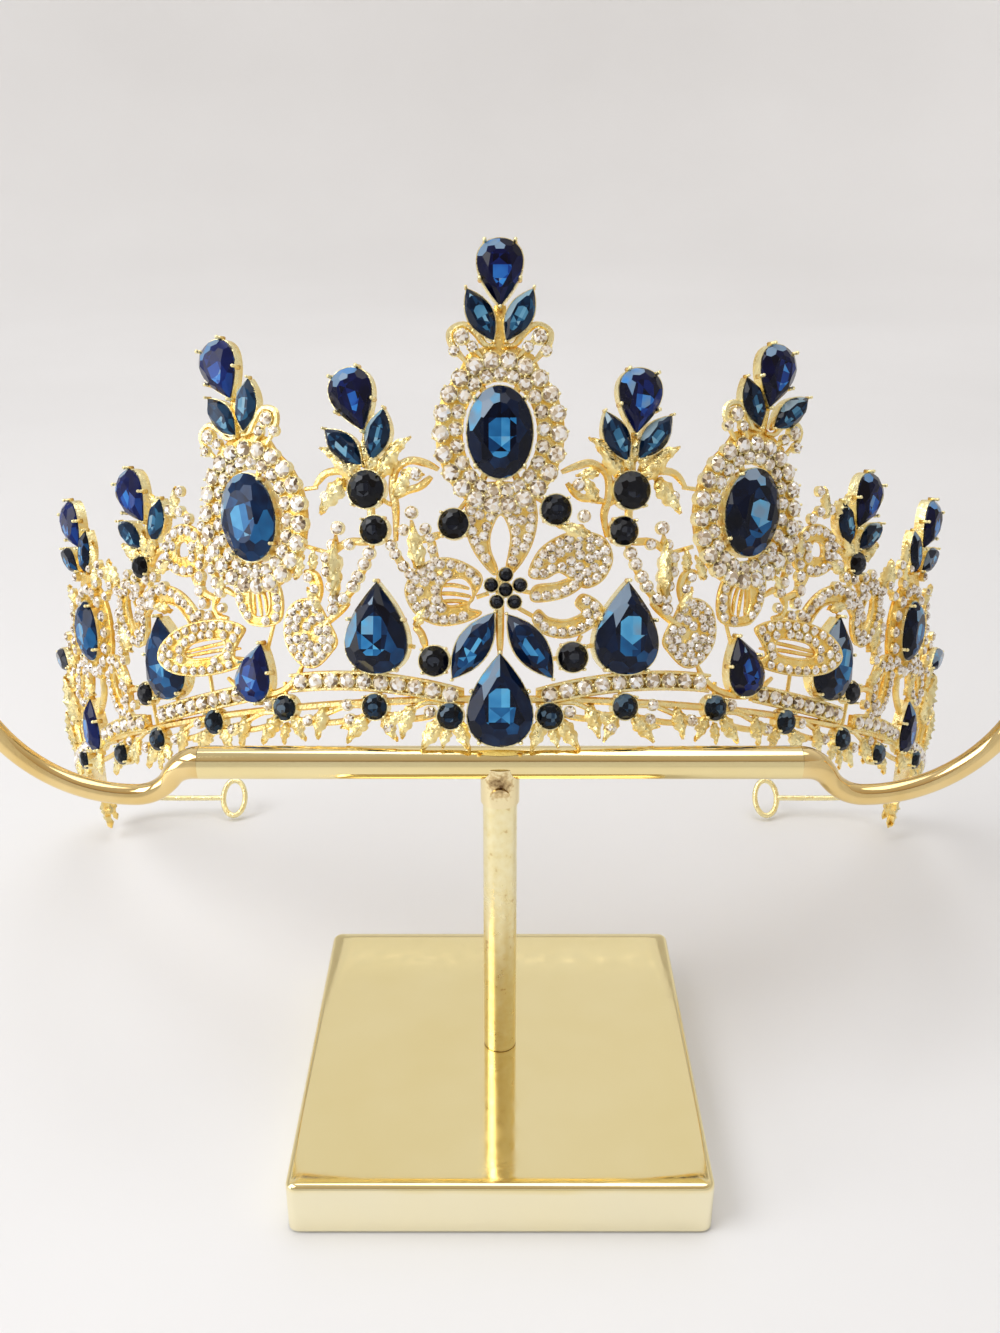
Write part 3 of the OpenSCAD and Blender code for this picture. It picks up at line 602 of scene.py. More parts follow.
CUTS = {
    "pear": (grind("pear_cut", pear_edge, 10, 14, 9, 2.2), pear_edge, 10, 14),
    "oval": (grind("oval_cut", oval_edge, 10, 14, 10, 2.1), oval_edge, 10, 14),
    "leaf": (grind("leaf_cut", leaf_edge, 4, 9, 8, 0.95), leaf_edge, 4, 9),
    "round": (grind("round_cut", oval_edge, 4, 4, 8, 0.85, 32), oval_edge, 4, 4),
}


# What a facet throws back: 0 is near black, 0.5 royal blue, 0.8 azure, and 1 the grey of the window
GLOW_R, GLOW_OFF, GLOW_TONES = 0.3, 0.12, (0.15, 0.52, 0.68, 0.8, 0.88)
TABLE_TONES, DULL_TONES = (0.04, 0.14, 0.34, 0.5, 0.68), (0.0, 0.05, 0.14, 0.28)
CROWN_TONES, MIRROR_TONES, FAR_TONES = (0.0, 0.02, 0.06, 0.14), (0.9, 0.97, 1.0, 0.1), (0.02, 0.2, 0.42, 0.1)
PLACE_STEPS, PLACE_SHIFT = 100, 0.32


def by_place(faces):
    """The faces in the order of their places, since grinding numbers them differently each time."""
    return sorted(faces, key=lambda face: [round(at * PLACE_STEPS + PLACE_SHIFT) for at in face.center])


def tint(mesh, glint, sheen, seed, w, h, paler=0.0):
    """Sets the tone of each facet: the table glows towards glint, the crown mirrors the window at sheen."""
    rng = random.Random(seed)
    tones = mesh.attributes.new("tone", "FLOAT", "FACE")
    glow_x, glow_y = GLOW_OFF * math.cos(math.radians(glint)), GLOW_OFF * math.sin(math.radians(glint))
    mirrors_from = 0.72 if paler >= 0 else 0.9
    for face in by_place(mesh.polygons):
        tone = tones.data[face.index]
        x, y = face.center.x / w * 2, face.center.y / h * 2
        if face.normal.z > 0.995:
            toward = math.cos(math.atan2(y, x) - math.radians(glint))
            if math.hypot(x - glow_x, y - glow_y) < GLOW_R:
                tone.value = rng.choice(GLOW_TONES)
            else:
                tone.value = rng.choice(TABLE_TONES if toward > 0.1 else DULL_TONES)
        else:
            toward = math.cos(math.atan2(face.normal.y, face.normal.x) - math.radians(sheen))
            tone.value = rng.choice(CROWN_TONES)
            if toward > mirrors_from and math.hypot(x, y) > 0.4:
                tone.value = rng.choice(MIRROR_TONES)
            elif toward < -0.5:
                tone.value = rng.choice(FAR_TONES)
        tone.value += paler * (1 - tone.value)


def noted(tree, name):
    """The mask that a mesh keeps as its attribute of that name."""
    read = tree.nodes.new("ShaderNodeAttribute")
    read.attribute_name = name
    return read.outputs["Fac"]


GLASS_DEPTHS = (0.0, 0.22, 0.45, 0.68, 0.88, 1.0)


def foiled_glass(name, depths, colours):
    """Glass over a foil: a facet's tone, its painted reflection a little uneven, sets its depth of colour.
    """
    made, tree, shader = shader_of(name)
    tone = mixed_in(tree, 420, 1, 0.1, noted(tree, "tone"))
    tree.links.new(ramp(tree, tone, list(zip(depths, colours))), shader.inputs["Base Color"])
    for socket, value in (
        ("Roughness", 0.12),
        ("Specular IOR Level", 0.12),
        ("Coat Weight", 0.32),
        ("Coat Roughness", 0.02),
        ("Coat IOR", 1.4),
    ):
        shader.inputs[socket].default_value = value
    return made


azure_glass = foiled_glass(
    "azure_glass",
    GLASS_DEPTHS,
    [
        (0.0006, 0.001, 0.004), (0.002, 0.009, 0.035), (0.006, 0.05, 0.16),
        (0.02, 0.17, 0.42), (0.10, 0.42, 0.72), (0.20, 0.27, 0.36),
    ],
)
steel_glass = foiled_glass(
    "steel_glass",
    GLASS_DEPTHS,
    [
        (0.0008, 0.002, 0.006), (0.003, 0.014, 0.04), (0.012, 0.06, 0.14),
        (0.04, 0.17, 0.31), (0.16, 0.38, 0.54), (0.28, 0.40, 0.48),
    ],
)
royal_glass = foiled_glass(
    "royal_glass",
    GLASS_DEPTHS,
    [
        (0.0008, 0.0008, 0.005), (0.003, 0.005, 0.045), (0.006, 0.020, 0.15),
        (0.012, 0.07, 0.35), (0.04, 0.25, 0.68), (0.17, 0.27, 0.40),
    ],
)

MAIN_STONES = [
    ("peak_pear_c", "pear", 0, 71, 7, 10.2, 180),
    ("crest_leaf_cl", "leaf", -2.5, 64.7, 4, 8.8, 27),
    ("crest_leaf_cr", "leaf", 2.5, 64.7, 4, 8.8, -27),
    ("oval_c", "oval", 0, 46.9, 10, 14, 0),
    ("drop_leaf_l", "leaf", -3.9, 14.6, 5, 11.8, -33),
    ("drop_leaf_r", "leaf", 4.4, 14.5, 5, 11.8, 36),
    ("drop_pear_c", "pear", 0, 6.3, 10, 14.2, 0),
    ("peak_pear_l1", "pear", -19.5, 53, 7, 10, 195),
    ("crest_leaf_l1_out", "leaf", -21.4, 46, 4, 8.2, 43),
    ("crest_leaf_l1_in", "leaf", -16.5, 47.4, 4, 8, -17),
    ("big_pear_l1", "pear", -18, 17.8, 10, 14, -4),
    ("peak_pear_r1", "pear", 18.5, 52.7, 7, 10, 177),
    ("crest_leaf_r1_in", "leaf", 15.7, 47, 4, 8.2, 28),
    ("crest_leaf_r1_out", "leaf", 21.1, 47.5, 4, 8.6, -35),
    ("big_pear_r1", "pear", 18.5, 17.8, 10.2, 14.2, 2),
    ("peak_pear_l2", "pear", -39.2, 61.3, 7, 10, 197),
    ("crest_leaf_l2_out", "leaf", -40, 54, 4, 8.2, 34),
    ("crest_leaf_l2_in", "leaf", -35.7, 55, 4, 8.2, -14),
    ("oval_l2", "oval", -37, 37.2, 10.2, 14.2, 6),
    ("small_pear_l2", "pear", -39.2, 12.6, 6.8, 9.6, -24),
    ("peak_pear_r2", "pear", 38.7, 60.2, 7, 10.2, 172),
    ("crest_leaf_r2_in", "leaf", 35.6, 55.4, 4, 8, 26),
    ("crest_leaf_r2_out", "leaf", 42.2, 55.2, 4, 8.8, -46),
    ("oval_r2", "oval", 37, 38, 10.2, 14.2, -6),
    ("small_pear_r2", "pear", 38.9, 13.6, 6.8, 9.8, 25),
    ("peak_pear_l3", "pear", -61.2, 45.8, 7, 10, 204),
    ("crest_leaf_l3_out", "leaf", -63.6, 39.9, 3.8, 8, 44),
    ("crest_leaf_l3_in", "leaf", -56.2, 40.6, 3.8, 7.4, -26),
    ("big_pear_l3", "pear", -58.8, 17.6, 10, 14, 0),
    ("peak_pear_r3", "pear", 61.2, 45.1, 7, 10, 162),
    ("crest_leaf_r3_in", "leaf", 57, 40.3, 3.8, 7.6, 25),
    ("crest_leaf_r3_out", "leaf", 63.8, 39.7, 3.8, 8, -46),
    ("big_pear_r3", "pear", 58.4, 17.4, 10, 14, 0),
    ("peak_pear_l4", "pear", -83, 46.6, 6.6, 9.6, 202),
    ("oval_l4", "oval", -83.6, 27, 8, 11, 0),
    ("small_pear_l4", "pear", -90, 10.2, 6.6, 9.8, -12),
    ("peak_pear_r4", "pear", 84, 47, 6.6, 9.6, 162),
    ("oval_r4", "oval", 83.6, 27, 8, 11, 0),
    ("small_pear_r4", "pear", 90, 9.8, 6.6, 9.8, 12),
]
SIDE_LEAVES = [(79.8, 40.9, 3.8, 7.6, 24), (87.2, 41.4, 3.8, 8, -46), (105, 26, 4, 9, -58)]


def copies(model, seats, dress=None):
    """Sets a copy of the model, with its own mesh, at every seat, and joins them."""
    made = []
    for number, where in enumerate(seats):
        mesh = model.data.copy()
        if dress:
            dress(mesh, number)
        mesh.transform(where)
        made.append(put(model.name, mesh))
    return joined(made)


def stone_seat(cut, s, t, w, h, turn):
    unit_w, unit_h = CUTS[cut][2:]
    return seat(s, t, turn, 0, (w / unit_w, h / unit_h, rise_of(w) / rise_of(unit_w)))


SHEEN_TURN, STONE_SEED, LEAF_SEED, ROUND_SEED = 125, 40, 60, 100


def dressed(cut, rows):
    """Tints each copy so that its bright and mirroring facets look the same way whatever its turn."""
    unit_w, unit_h = CUTS[cut][2:]

    def dress(mesh, number):
        turn, glint, seed, *paler = rows[number]
        tint(mesh, glint - turn, SHEEN_TURN - turn, seed, unit_w, unit_h, *paler)

    return dress


# The stones on the left face the window and look paler, and those on the right mirror it in fewer facets
for number, (name, cut, s, t, w, h, turn) in enumerate(MAIN_STONES):
    glint = -70 + 25 * math.sin(number * 2.3)
    paler = 0.18 if s < -30 else -0.03 if s > 30 else 0.08 if cut == "leaf" else 0.0
    told = [(turn, glint, number + STONE_SEED, paler)]
    stone = copies(CUTS[cut][0], [stone_seat(cut, s, t, w, h, turn)], dressed(cut, told))
    glass = azure_glass
    if name.startswith(("peak", "small")):
        glass = royal_glass
    elif name.startswith("crest"):
        glass = steel_glass
    finish_piece(stone, name + "_stone", glass, "blue_stone", name)
for side, word in ((-1, "left"), (1, "right")):
    seats = [stone_seat("leaf", side * s, t, w, h, side * turn) for s, t, w, h, turn in SIDE_LEAVES]
    told = [(side * row[4], -60, LEAF_SEED + k) for k, row in enumerate(SIDE_LEAVES)]
    leaves = copies(CUTS["leaf"][0], seats, dressed("leaf", told))
    finish_piece(leaves, "side_leaf_stones_" + word, azure_glass, "blue_stone", "side_leaves_" + word)

# Round stones of the upper work, the band and the middle flower, ground alike from near-black glass. Those
# of the band are a dark blue that only shows where they catch the light.
black_glass = foiled_glass(
    "black_glass",
    (0.0, 0.5, 0.8, 1.0),
    [(0.0008, 0.0009, 0.0015), (0.004, 0.005, 0.010), (0.008, 0.012, 0.024), (0.05, 0.054, 0.06)],
)
midnight_glass = foiled_glass(
    "midnight_glass",
    (0.0, 0.3, 0.6, 1.0),
    [(0.0008, 0.0014, 0.003), (0.003, 0.009, 0.018), (0.010, 0.035, 0.075), (0.07, 0.12, 0.17)],
)
UPPER_ROUNDS = [
    (-6.4, 33.2, 4.6), (7.7, 35.4, 4.6), (-9.7, 12.4, 4.6), (10.7, 13, 4.6), (-18.5, 39.2, 5.8),
    (18.2, 39, 5.8), (-17.7, 32.9, 4.4), (17.4, 32.7, 4.4), (-62.2, 34, 4), (61.5, 34.4, 4),
    (-66.4, 12.5, 4), (65.6, 12.6, 4),
]
BAND_ROUNDS = [(7.5, 3.9), (19.1, 5.7), (34.4, 6.5), (49.2, 5.6), (64.8, 4.4), (78.5, 3.4), (101, 5.2)]
BAND_ROUND_D, END_ROUND = 4.0, (148, 3.2, 2.8)
FLOWER, FLOWER_R, FLOWER_ROUND_D = (0.8, 23.1), 2.3, 2.1
FLOWER_ROUNDS = [
    spot(*FLOWER, FLOWER_R * math.cos(a), FLOWER_R * math.sin(a))
    for a in (math.radians(90 + 72 * i) for i in range(5))
]
FLOWER_ROUNDS.append(FLOWER)


def round_stones(name, rows, glass, node_name):
    seats = [stone_seat("round", s, t, d, d, 0) for s, t, d in rows]
    told = [(0, -60 + 40 * math.sin(k), ROUND_SEED + k) for k in range(len(rows))]
    finish_piece(
        copies(CUTS["round"][0], seats, dressed("round", told)), name, glass, "black_stone", node_name
    )


band_rows = [(side * s, t, BAND_ROUND_D) for side in (-1, 1) for s, t in BAND_ROUNDS]
band_rows += [(side * END_ROUND[0], *END_ROUND[1:]) for side in (-1, 1)]
round_stones("upper_round_stones", UPPER_ROUNDS, black_glass, "upper_rounds")
round_stones("band_round_stones", band_rows, midnight_glass, "band_rounds")
flower_rows = [(s, t, FLOWER_ROUND_D) for s, t in FLOWER_ROUNDS]
round_stones("flower_round_stones", flower_rows, black_glass, "flower_stones")

# Gold: cast brass plated in a pale polished gold. Its hollows are painted orange as painted shade, since
# light bounces in them twice. The casting's open back is kept out of that shade, as pale as its middle
# depth.
CAST_BACK, CAST_FRONT, BACK_SKIN, BACK_LIFT = -1.2, 0.9, 0.1, 0.6
casting, tree, shader = shader_of("cast_gold")
gold_tones = [(0.15, (0.70, 0.31, 0.02)), (0.5, (0.95, 0.65, 0.16)), (1.0, (1.0, 0.89, 0.49))]
# painted shade: orange in the hollows, pale on the crests, by how far each point stands out
hollow_shade_mask = mixed_in(tree, 300, 3, 0.35, noted(tree, "lift"))
plated(tree, shader, hollow_shade_mask, gold_tones, uneven(tree, 800, 3), 0.2, 0.42)
bump(tree, uneven(tree, 1500, 3), shader, 0.35, 0.0003)


def mark_lift(mesh, low=CAST_BACK, high=CAST_FRONT):
    """Notes how far out of the casting each point stands: 0 in its hollows, 1 on its crests."""
    lifts = mesh.attributes.get("lift") or mesh.attributes.new("lift", "FLOAT", "POINT")
    for vertex, lift in zip(mesh.vertices, lifts.data):
        back = vertex.co.z < low + BACK_SKIN
        lift.value = BACK_LIFT if back else min(1.0, max(0.0, (vertex.co.z - low) / (high - low)))


def flush(s, t):
    """How far a piece that lies against the wall stands out of it."""
    return 0.0


def bend(piece, raised):
    """Bends a flat piece, drawn at (s, t, n) in millimetres, round the head, and stands it out by raised."""
    mark_lift(piece.data)
    for vertex in piece.data.vertices:
        s, t, n = vertex.co
        vertex.co = place(s, t, n + raised(s, t))
    return piece


def between(a, b, c, d, u):
    """The place at the share u from b to c, on a smooth line that comes from a and goes on to d."""
    return 0.5 * (
        (2 * b) + (c - a) * u + (2 * a - 5 * b + 4 * c - d) * u * u + (3 * b - a - 3 * c + d) * u ** 3
    )


def smoothed(points, pieces=4):
    """Points of a smooth line through the places given."""
    ends = [Vector(p) for p in (points[0], *points, points[-1])]
    line = [between(*ends[i:i + 4], k / pieces) for i in range(len(ends) - 3) for k in range(pieces)]
    return [*line, Vector(points[-1])]


def cast_from(name, curve):
    """The curve as a closed mesh with soft edges."""
    made = meshed(name, curve)
    bpy.ops.object.mode_set(mode="EDIT")
    close_shell(0.002)
    bpy.ops.object.mode_set(mode="OBJECT")
    bpy.ops.object.shade_smooth_by_angle(angle=math.radians(50))
    return made


def wires(name, paths, r=0.55, n=0.0, thin=0.55, raised=flush, closed=False):
    """Rounded wires along flat paths of (s, t), thinner at their ends."""
    curve = curve_of(name, 1.0, 1)
    for path in paths:
        line = smoothed(path) if len(path) > 2 else path

        def width(i):
            end = min(i, len(line) - 1 - i) / max(1, len(line) - 1) * 5
            return r if closed else r * min(1.0, thin + (1 - thin) * end)

        add_line(curve, [(s, t, n) for s, t in line], closed, width)
    return bend(cast_from(name, curve), raised)


EDGE_ROUND = 0.18


def plates(name, outlines, low, high, raised=flush):
    """A flat casting with the outlines given, an inner outline being a hole, and rounded edges."""
    curve = curve_of(name, EDGE_ROUND, 1, "2D")
    curve.fill_mode = "BOTH"
    curve.extrude = (high - low) / 2 - EDGE_ROUND
    curve.offset = -EDGE_ROUND
    for outline in outlines:
        add_line(curve, [(s, t, 0) for s, t in outline], True)
    made = cast_from(name, curve)
    for vertex in made.data.vertices:
        vertex.co.z += (low + high) / 2
    return bend(made, raised)


def join(name, pieces, finish, slot, *nodes):
    return finish_piece(joined(pieces), name, finish, slot, *nodes)


def ring_of(s, t, a_half, b_half, turn=0.0, count=40):
    angles = [math.tau * i / count for i in range(count)]
    return [spot(s, t, a_half * math.sin(a), b_half * math.cos(a), turn) for a in angles]


# Settings of the main stones: a shallow cup with a thin raised lip round each girdle, cast with the frame,
# and small upright claws at the tips.
CUP_ROOM, LIP_WIDE, CUP_DEEP, HOLLOW_STEPS = 0.36, 0.16, 0.3, ((0.84, 0), (0.92, 0.5))
CLAW_ROOM, CLAW_BALL_R, CLAW_BALL_Z, CLAW_STEM = 0.5, 0.42, 1.15, 2.1


def setting(edge, w, h, corners):
    """A cup for a stone w by h: outer wall, lip, inner wall and floor."""
    unselect()
    rise = rise_of(w)
    bpy.ops.mesh.primitive_circle_add(vertices=corners, radius=1, fill_type="NGON")
    cup = bpy.context.object
    for i, vertex in enumerate(cup.data.vertices):
        vertex.co = (*edge(i / corners, w + CUP_ROOM, h + CUP_ROOM), CAST_BACK)
    bpy.ops.object.mode_set(mode="EDIT")
    bpy.ops.mesh.select_all(action="SELECT")
    extrude_up(-CAST_BACK + CUP_DEEP * rise)
    bpy.ops.mesh.inset(thickness=LIP_WIDE, depth=0)
    extrude_up(-CUP_DEEP * rise)
    # The casting is hollow behind the stone, to save metal
    pick(cup, "FACE", lambda face: face.center.z < CAST_BACK + 0.01)
    for narrowed, sunk in HOLLOW_STEPS:
        extrude_up(sunk)
        bpy.ops.transform.resize(value=(narrowed, narrowed, 1), center_override=(0, 0, 0))
    bpy.ops.mesh.select_all(action="SELECT")
    bpy.ops.mesh.normals_make_consistent(inside=False)
    bpy.ops.object.mode_set(mode="OBJECT")
    bpy.ops.object.shade_smooth_by_angle(angle=math.radians(40))
    mark_lift(cup.data)
    return cup


def claw_model():
    """A small bead on a short upright stem."""
    unselect()
    bpy.ops.mesh.primitive_uv_sphere_add(segments=8, ring_count=5, radius=CLAW_BALL_R, location=(0, 0, 0))
    bead = bpy.context.object
    bead.data.transform(Matrix.Translation((0, 0, CLAW_BALL_Z)))
    bpy.ops.mesh.primitive_cone_add(
        vertices=8, radius1=0.5, radius2=0.3, depth=CLAW_STEM, location=(0, 0, 0)
    )
    joined([bead, bpy.context.object])
    bpy.ops.object.shade_smooth()
    mark_lift(bead.data)
    return bead


claw = claw_model()
FOUR_CORNERS = (0.125, 0.375, 0.625, 0.875)
CLAWS_AT = {
    "pear": (0.0, 0.22, 0.42, 0.58, 0.78), "oval": FOUR_CORNERS, "leaf": (0.0, 0.5), "round": FOUR_CORNERS
}
cups, claws = [], []


def set_stone(cut, s, t, w, h, turn):
    edge = CUTS[cut][1]
    cup = setting(edge, w, h, 24 if w < 5 else 36)
    cup.data.transform(seat(s, t, turn))
    cups.append(cup)
    size = 0.8 if w > 6 else 0.6
    for k in CLAWS_AT[cut]:
        x, y = edge(k, w + CLAW_ROOM, h + CLAW_ROOM)
        claws.append(seat(*spot(s, t, x, y, turn), turn, 0.45 * rise_of(w) - 0.3, (size, size, size)))


for _, cut, s, t, w, h, turn in MAIN_STONES:
    set_stone(cut, s, t, w, h, turn)
for side in (-1, 1):
    for s, t, w, h, turn in SIDE_LEAVES:
        set_stone("leaf", side * s, t, w, h, side * turn)
    for s, t in BAND_ROUNDS:
        set_stone("round", side * s, t, BAND_ROUND_D, BAND_ROUND_D, 0)
for s, t, d in UPPER_ROUNDS:
    set_stone("round", s, t, d, d, 0)
for s, t in FLOWER_ROUNDS:
    cup = setting(oval_edge, FLOWER_ROUND_D, FLOWER_ROUND_D, 12)
    cup.data.transform(seat(s, t))
    cups.append(cup)
join("stone_settings", cups, casting, "gold_casting", "frame")
join("stone_claws", [copies(claw, claws)], casting, "gold_casting")

# Clear stones: small round glass stones with a silver foil, each in a gold cup of its own. The halos have
# two rings of them, the row over the foot one line, and the petals are paved with them.
clear_glass, tree, shader = shader_of("clear_glass")
# painted reflections: each facet is painted from dark brown shade to a white glint, by its tone
facet_glint_tones = [
    (0.0, (0.14, 0.09, 0.05)), (0.2, (0.45, 0.33, 0.20)), (0.45, (0.78, 0.66, 0.50)),
    (0.7, (0.94, 0.88, 0.76)), (1.0, (1.0, 1.0, 1.0)),
]
plated(tree, shader, noted(tree, "tone"), facet_glint_tones, uneven(tree, 900, 1), 0.06, 0.2)
shader.inputs["Metallic"].default_value = 0.3
shader.inputs["Coat Weight"].default_value = 1.0
shader.inputs["Coat Roughness"].default_value = 0.02
GIRDLE_HIGH, CROWN_HIGH, TABLE_WIDE, TABLE_TIP = 0.25, 0.4, 0.62, 0.1
CUP_R, CUP_SUNK, CUP_LIP, SMALL_CUP_DEEP, SMALL_CLAW_R, SMALL_CLAW_Z = 1.07, 0.3, 0.08, 0.2, 0.2, 0.42
CUP_FOOT, CUP_CREST = -0.7, 0.4


def small_stone_model():
    """A round stone of diameter 2: a low girdle, sixteen crown facets and a table."""
    unselect()
    bpy.ops.mesh.primitive_circle_add(vertices=8, radius=1, fill_type="NGON")
    stone = bpy.context.object
    bpy.ops.object.mode_set(mode="EDIT")
    bpy.ops.mesh.select_all(action="SELECT")
    extrude_up(GIRDLE_HIGH)
    extrude_up(CROWN_HIGH)
    bpy.ops.transform.resize(value=(TABLE_WIDE, TABLE_WIDE, 1))
    bpy.ops.transform.rotate(value=math.pi / 8, orient_axis="Z", center_override=(0, 0, 0))
    bpy.ops.mesh.poke(offset=TABLE_TIP)
    bpy.ops.mesh.select_all(action="SELECT")
    bpy.ops.mesh.quads_convert_to_tris(quad_method="FIXED")
    bpy.ops.mesh.normals_make_consistent(inside=False)
    bpy.ops.object.mode_set(mode="OBJECT")
    stone.name = "small_stone"
    return stone


def small_cup_model():
    """The cup of a stone of diameter 2: a round wall with a lip a little over the girdle."""
    unselect()
    bpy.ops.mesh.primitive_cylinder_add(vertices=12, radius=CUP_R, depth=1.0, location=(0, 0, 0))
    cup = bpy.context.object
    cup.data.transform(Matrix.Translation((0, 0, -CUP_SUNK)))
    pick(cup, "FACE", lambda face: face.normal.z > 0.9)
    bpy.ops.mesh.inset(thickness=CUP_LIP, depth=0)
    extrude_up(-SMALL_CUP_DEEP)
    bpy.ops.object.mode_set(mode="OBJECT")
    bpy.ops.object.shade_smooth_by_angle(angle=math.radians(40))
    cup.name = "small_cup"
    mark_lift(cup.data, CUP_FOOT, CUP_CREST)
    return cup


def small_claw_model():
    unselect()
    bpy.ops.mesh.primitive_ico_sphere_add(subdivisions=1, radius=SMALL_CLAW_R, location=(0, 0, 0))
    bead = bpy.context.object
    bead.data.transform(Matrix.Translation((0, 0, SMALL_CLAW_Z)))
    bpy.ops.object.shade_smooth()
    mark_lift(bead.data, CUP_FOOT, CUP_CREST)
    return bead


small_stone, small_cup, small_claw = small_stone_model(), small_cup_model(), small_claw_model()
shine = random.Random(7)
TABLE_SHINE, CROWN_SHINE = (0.25, 0.55, 0.8, 1.0), (0.05, 0.2, 0.4, 0.6, 0.82, 1.0)


def sparkle(mesh, number):
    """Gives each facet of a small stone its own tone, as a cut stone throws back light and dark."""
    tones = mesh.attributes.new("tone", "FLOAT", "FACE")
    whole = shine.uniform(-0.06, 0.08)
    for face in by_place(mesh.polygons):
        tone = tones.data[face.index]
        tone.value = whole + shine.choice(TABLE_SHINE if face.normal.z > 0.9 else CROWN_SHINE)


def clear_stones(name, rows, *nodes, claws_each=0):
    """rows: s, t, diameter, n. Sets the stones and their cups, and returns the cups for the gold."""
    seats, rims, beads = [], [], []
    for s, t, d, n in rows:
        turn = shine.uniform(0, 45)
        size = (d / 2, d / 2, d / 2)
        seats.append(seat(s, t, turn, n + 0.05, size))
        rims.append(seat(s, t, turn, n, size))
        for k in range(claws_each):
            a = math.radians(turn) + math.tau * k / claws_each
            beads.append(seat(*spot(s, t, d / 2 * math.cos(a), d / 2 * math.sin(a)), 0, n, size))
    finish_piece(copies(small_stone, seats, sparkle), name, clear_glass, "clear_stone", *nodes)
    return [copies(small_cup, rims)] + ([copies(small_claw, beads)] if beads else [])


# The halos: a flat gold plate round each large oval with two rings of stones, a bow of two curls with six
# stones on top, and a gable behind the bow that carries the crest.
HALOS = [("c", 0, 46.9, 0, 0), ("l", -37, 37.2, 6, 3.5), ("r", 37, 38, -6, -4.5)]
HALO_OUTER, HALO_INNER, BED, GABLE_FRONT = (10.0, 12.0), (5.75, 7.95), -0.35, -0.3
HALO_RINGS = ((9.0, 11.0, 2.65, 22, 0.5, 0.25), (6.75, 8.95, 2.2, 21, 0, 0.0))
BOW_STONES = (
    (-5.6, 14.6, 2.3), (5.8, 14.6, 2.3), (-4.0, 13, 1.7), (4.1, 13, 1.7), (-6.7, 12.5, 1.7),
    (6.8, 12.5, 1.7),
)
BOW_CURL = [
    (0.6, 13.2), (2.2, 13.4), (3.6, 15.2), (5.4, 16.5), (7.2, 15.6), (7.2, 13.8), (6, 12), (4.8, 10.6)
]
BOW_INNER = [(5.6, 14.6), (3.9, 12.8), (2.6, 11.4)]
GABLE = ((-6.4, 9), (6.4, 9), (5, 12), (0.9, 14), (0.9, 19.4), (-0.9, 19.4), (-0.9, 14), (-5, 12))


def halo_plate(s, t, outer, inner, turn=0.0):
    return plates("halo_plate", [ring_of(s, t, *outer, turn), ring_of(s, t, *inner, turn)], CAST_BACK, BED)


def bridges(s, t, ways, inner, outer, turn=0.0):
    """Short wires that tie the cup of an oval to its halo, one at each way in degrees."""
    made = []
    for way in ways:
        x, y = math.cos(math.radians(way)), math.sin(math.radians(way))
        ends = [spot(s, t, a_half * x, b_half * y, turn) for a_half, b_half in (inner, outer)]
        made.append(wires("bridge", [ends], 0.5, -0.6, thin=1))
    return made


def gable(s, t, points, turn=0.0):
    return plates("gable", [[spot(s, t, x, y, turn) for x, y in points]], CAST_BACK, GABLE_FRONT)


halo_gold = []
for word, s, t, turn, crest in HALOS:
    rows = []
    for a_half, b_half, d, count, shifted, n in HALO_RINGS:
        for i in range(count):
            a = math.tau * (i + shifted) / count
            rows.append((*spot(s, t, a_half * math.sin(a), b_half * math.cos(a), turn), d, n))
    rows += [(*spot(s, t, x, y, crest), d, 0.5) for x, y, d in BOW_STONES]
    halo_gold += clear_stones("halo_" + word + "_stones", rows, "halo_stones_" + word, claws_each=4)
    halo_gold.append(halo_plate(s, t, HALO_OUTER, HALO_INNER, turn))
    halo_gold += bridges(s, t, (62, 118, 242, 298), (4.6, 6.6), (6.6, 8.8), turn)
    for side in (-1, 1):
        for curl, r in ((BOW_CURL, 0.5), (BOW_INNER, 0.45)):
            halo_gold.append(wires("curl", [[spot(s, t, side * x, y, crest) for x, y in curl]], r))
    halo_gold.append(gable(s, t, GABLE, crest))
join("halo_settings", halo_gold, casting, "gold_casting")

# The row of clear stones over the foot: a channel of gold in three arches on each side, and a plainer run
# behind the ears.
ROW_ARCHES = [(7.4, 7.2, 31.2, 10.3, 0.8, 10), (43.4, 9.4, 62.4, 8.4, 0, 8), (69.6, 7.8, 85, 7.8, 0.4, 6)]
TAIL_ROW = (97.0, 7.2, 147.0, 6.6, 0.0, 19)
ROW_D, ROW_OUT, RAIL_OFF, RAIL_R, BED_HALF = 2.5, 0.15, 1.25, 0.32, 1.3


def arch_at(row, u):
    return (row[0] + (row[2] - row[0]) * u, row[1] + (row[3] - row[1]) * u + row[4] * 4 * u * (1 - u))


row_gold, row_places = [], []
for side in (-1, 1):
    for row in [*ROW_ARCHES, TAIL_ROW]:
        for i in range(row[5]):
            s, t = arch_at(row, i / (row[5] - 1))
            row_places.append((side * s, t, ROW_D, ROW_OUT))
        rail = [arch_at(row, u / 12) for u in range(-1, 14)]
        for off in (-RAIL_OFF, RAIL_OFF):
            row_gold.append(wires("rail", [[(side * s, t + off) for s, t in rail]], RAIL_R, 0.0, thin=0.8))
        bed = [(side * s, t + BED_HALF) for s, t in rail] + [
            (side * s, t - BED_HALF) for s, t in reversed(rail)
        ]
        row_gold.append(plates("bed", [bed], CAST_BACK, BED))
row_gold += clear_stones("row_stones_cut", row_places, "row_stones", claws_each=4)
join("row_settings", row_gold, casting, "gold_casting")

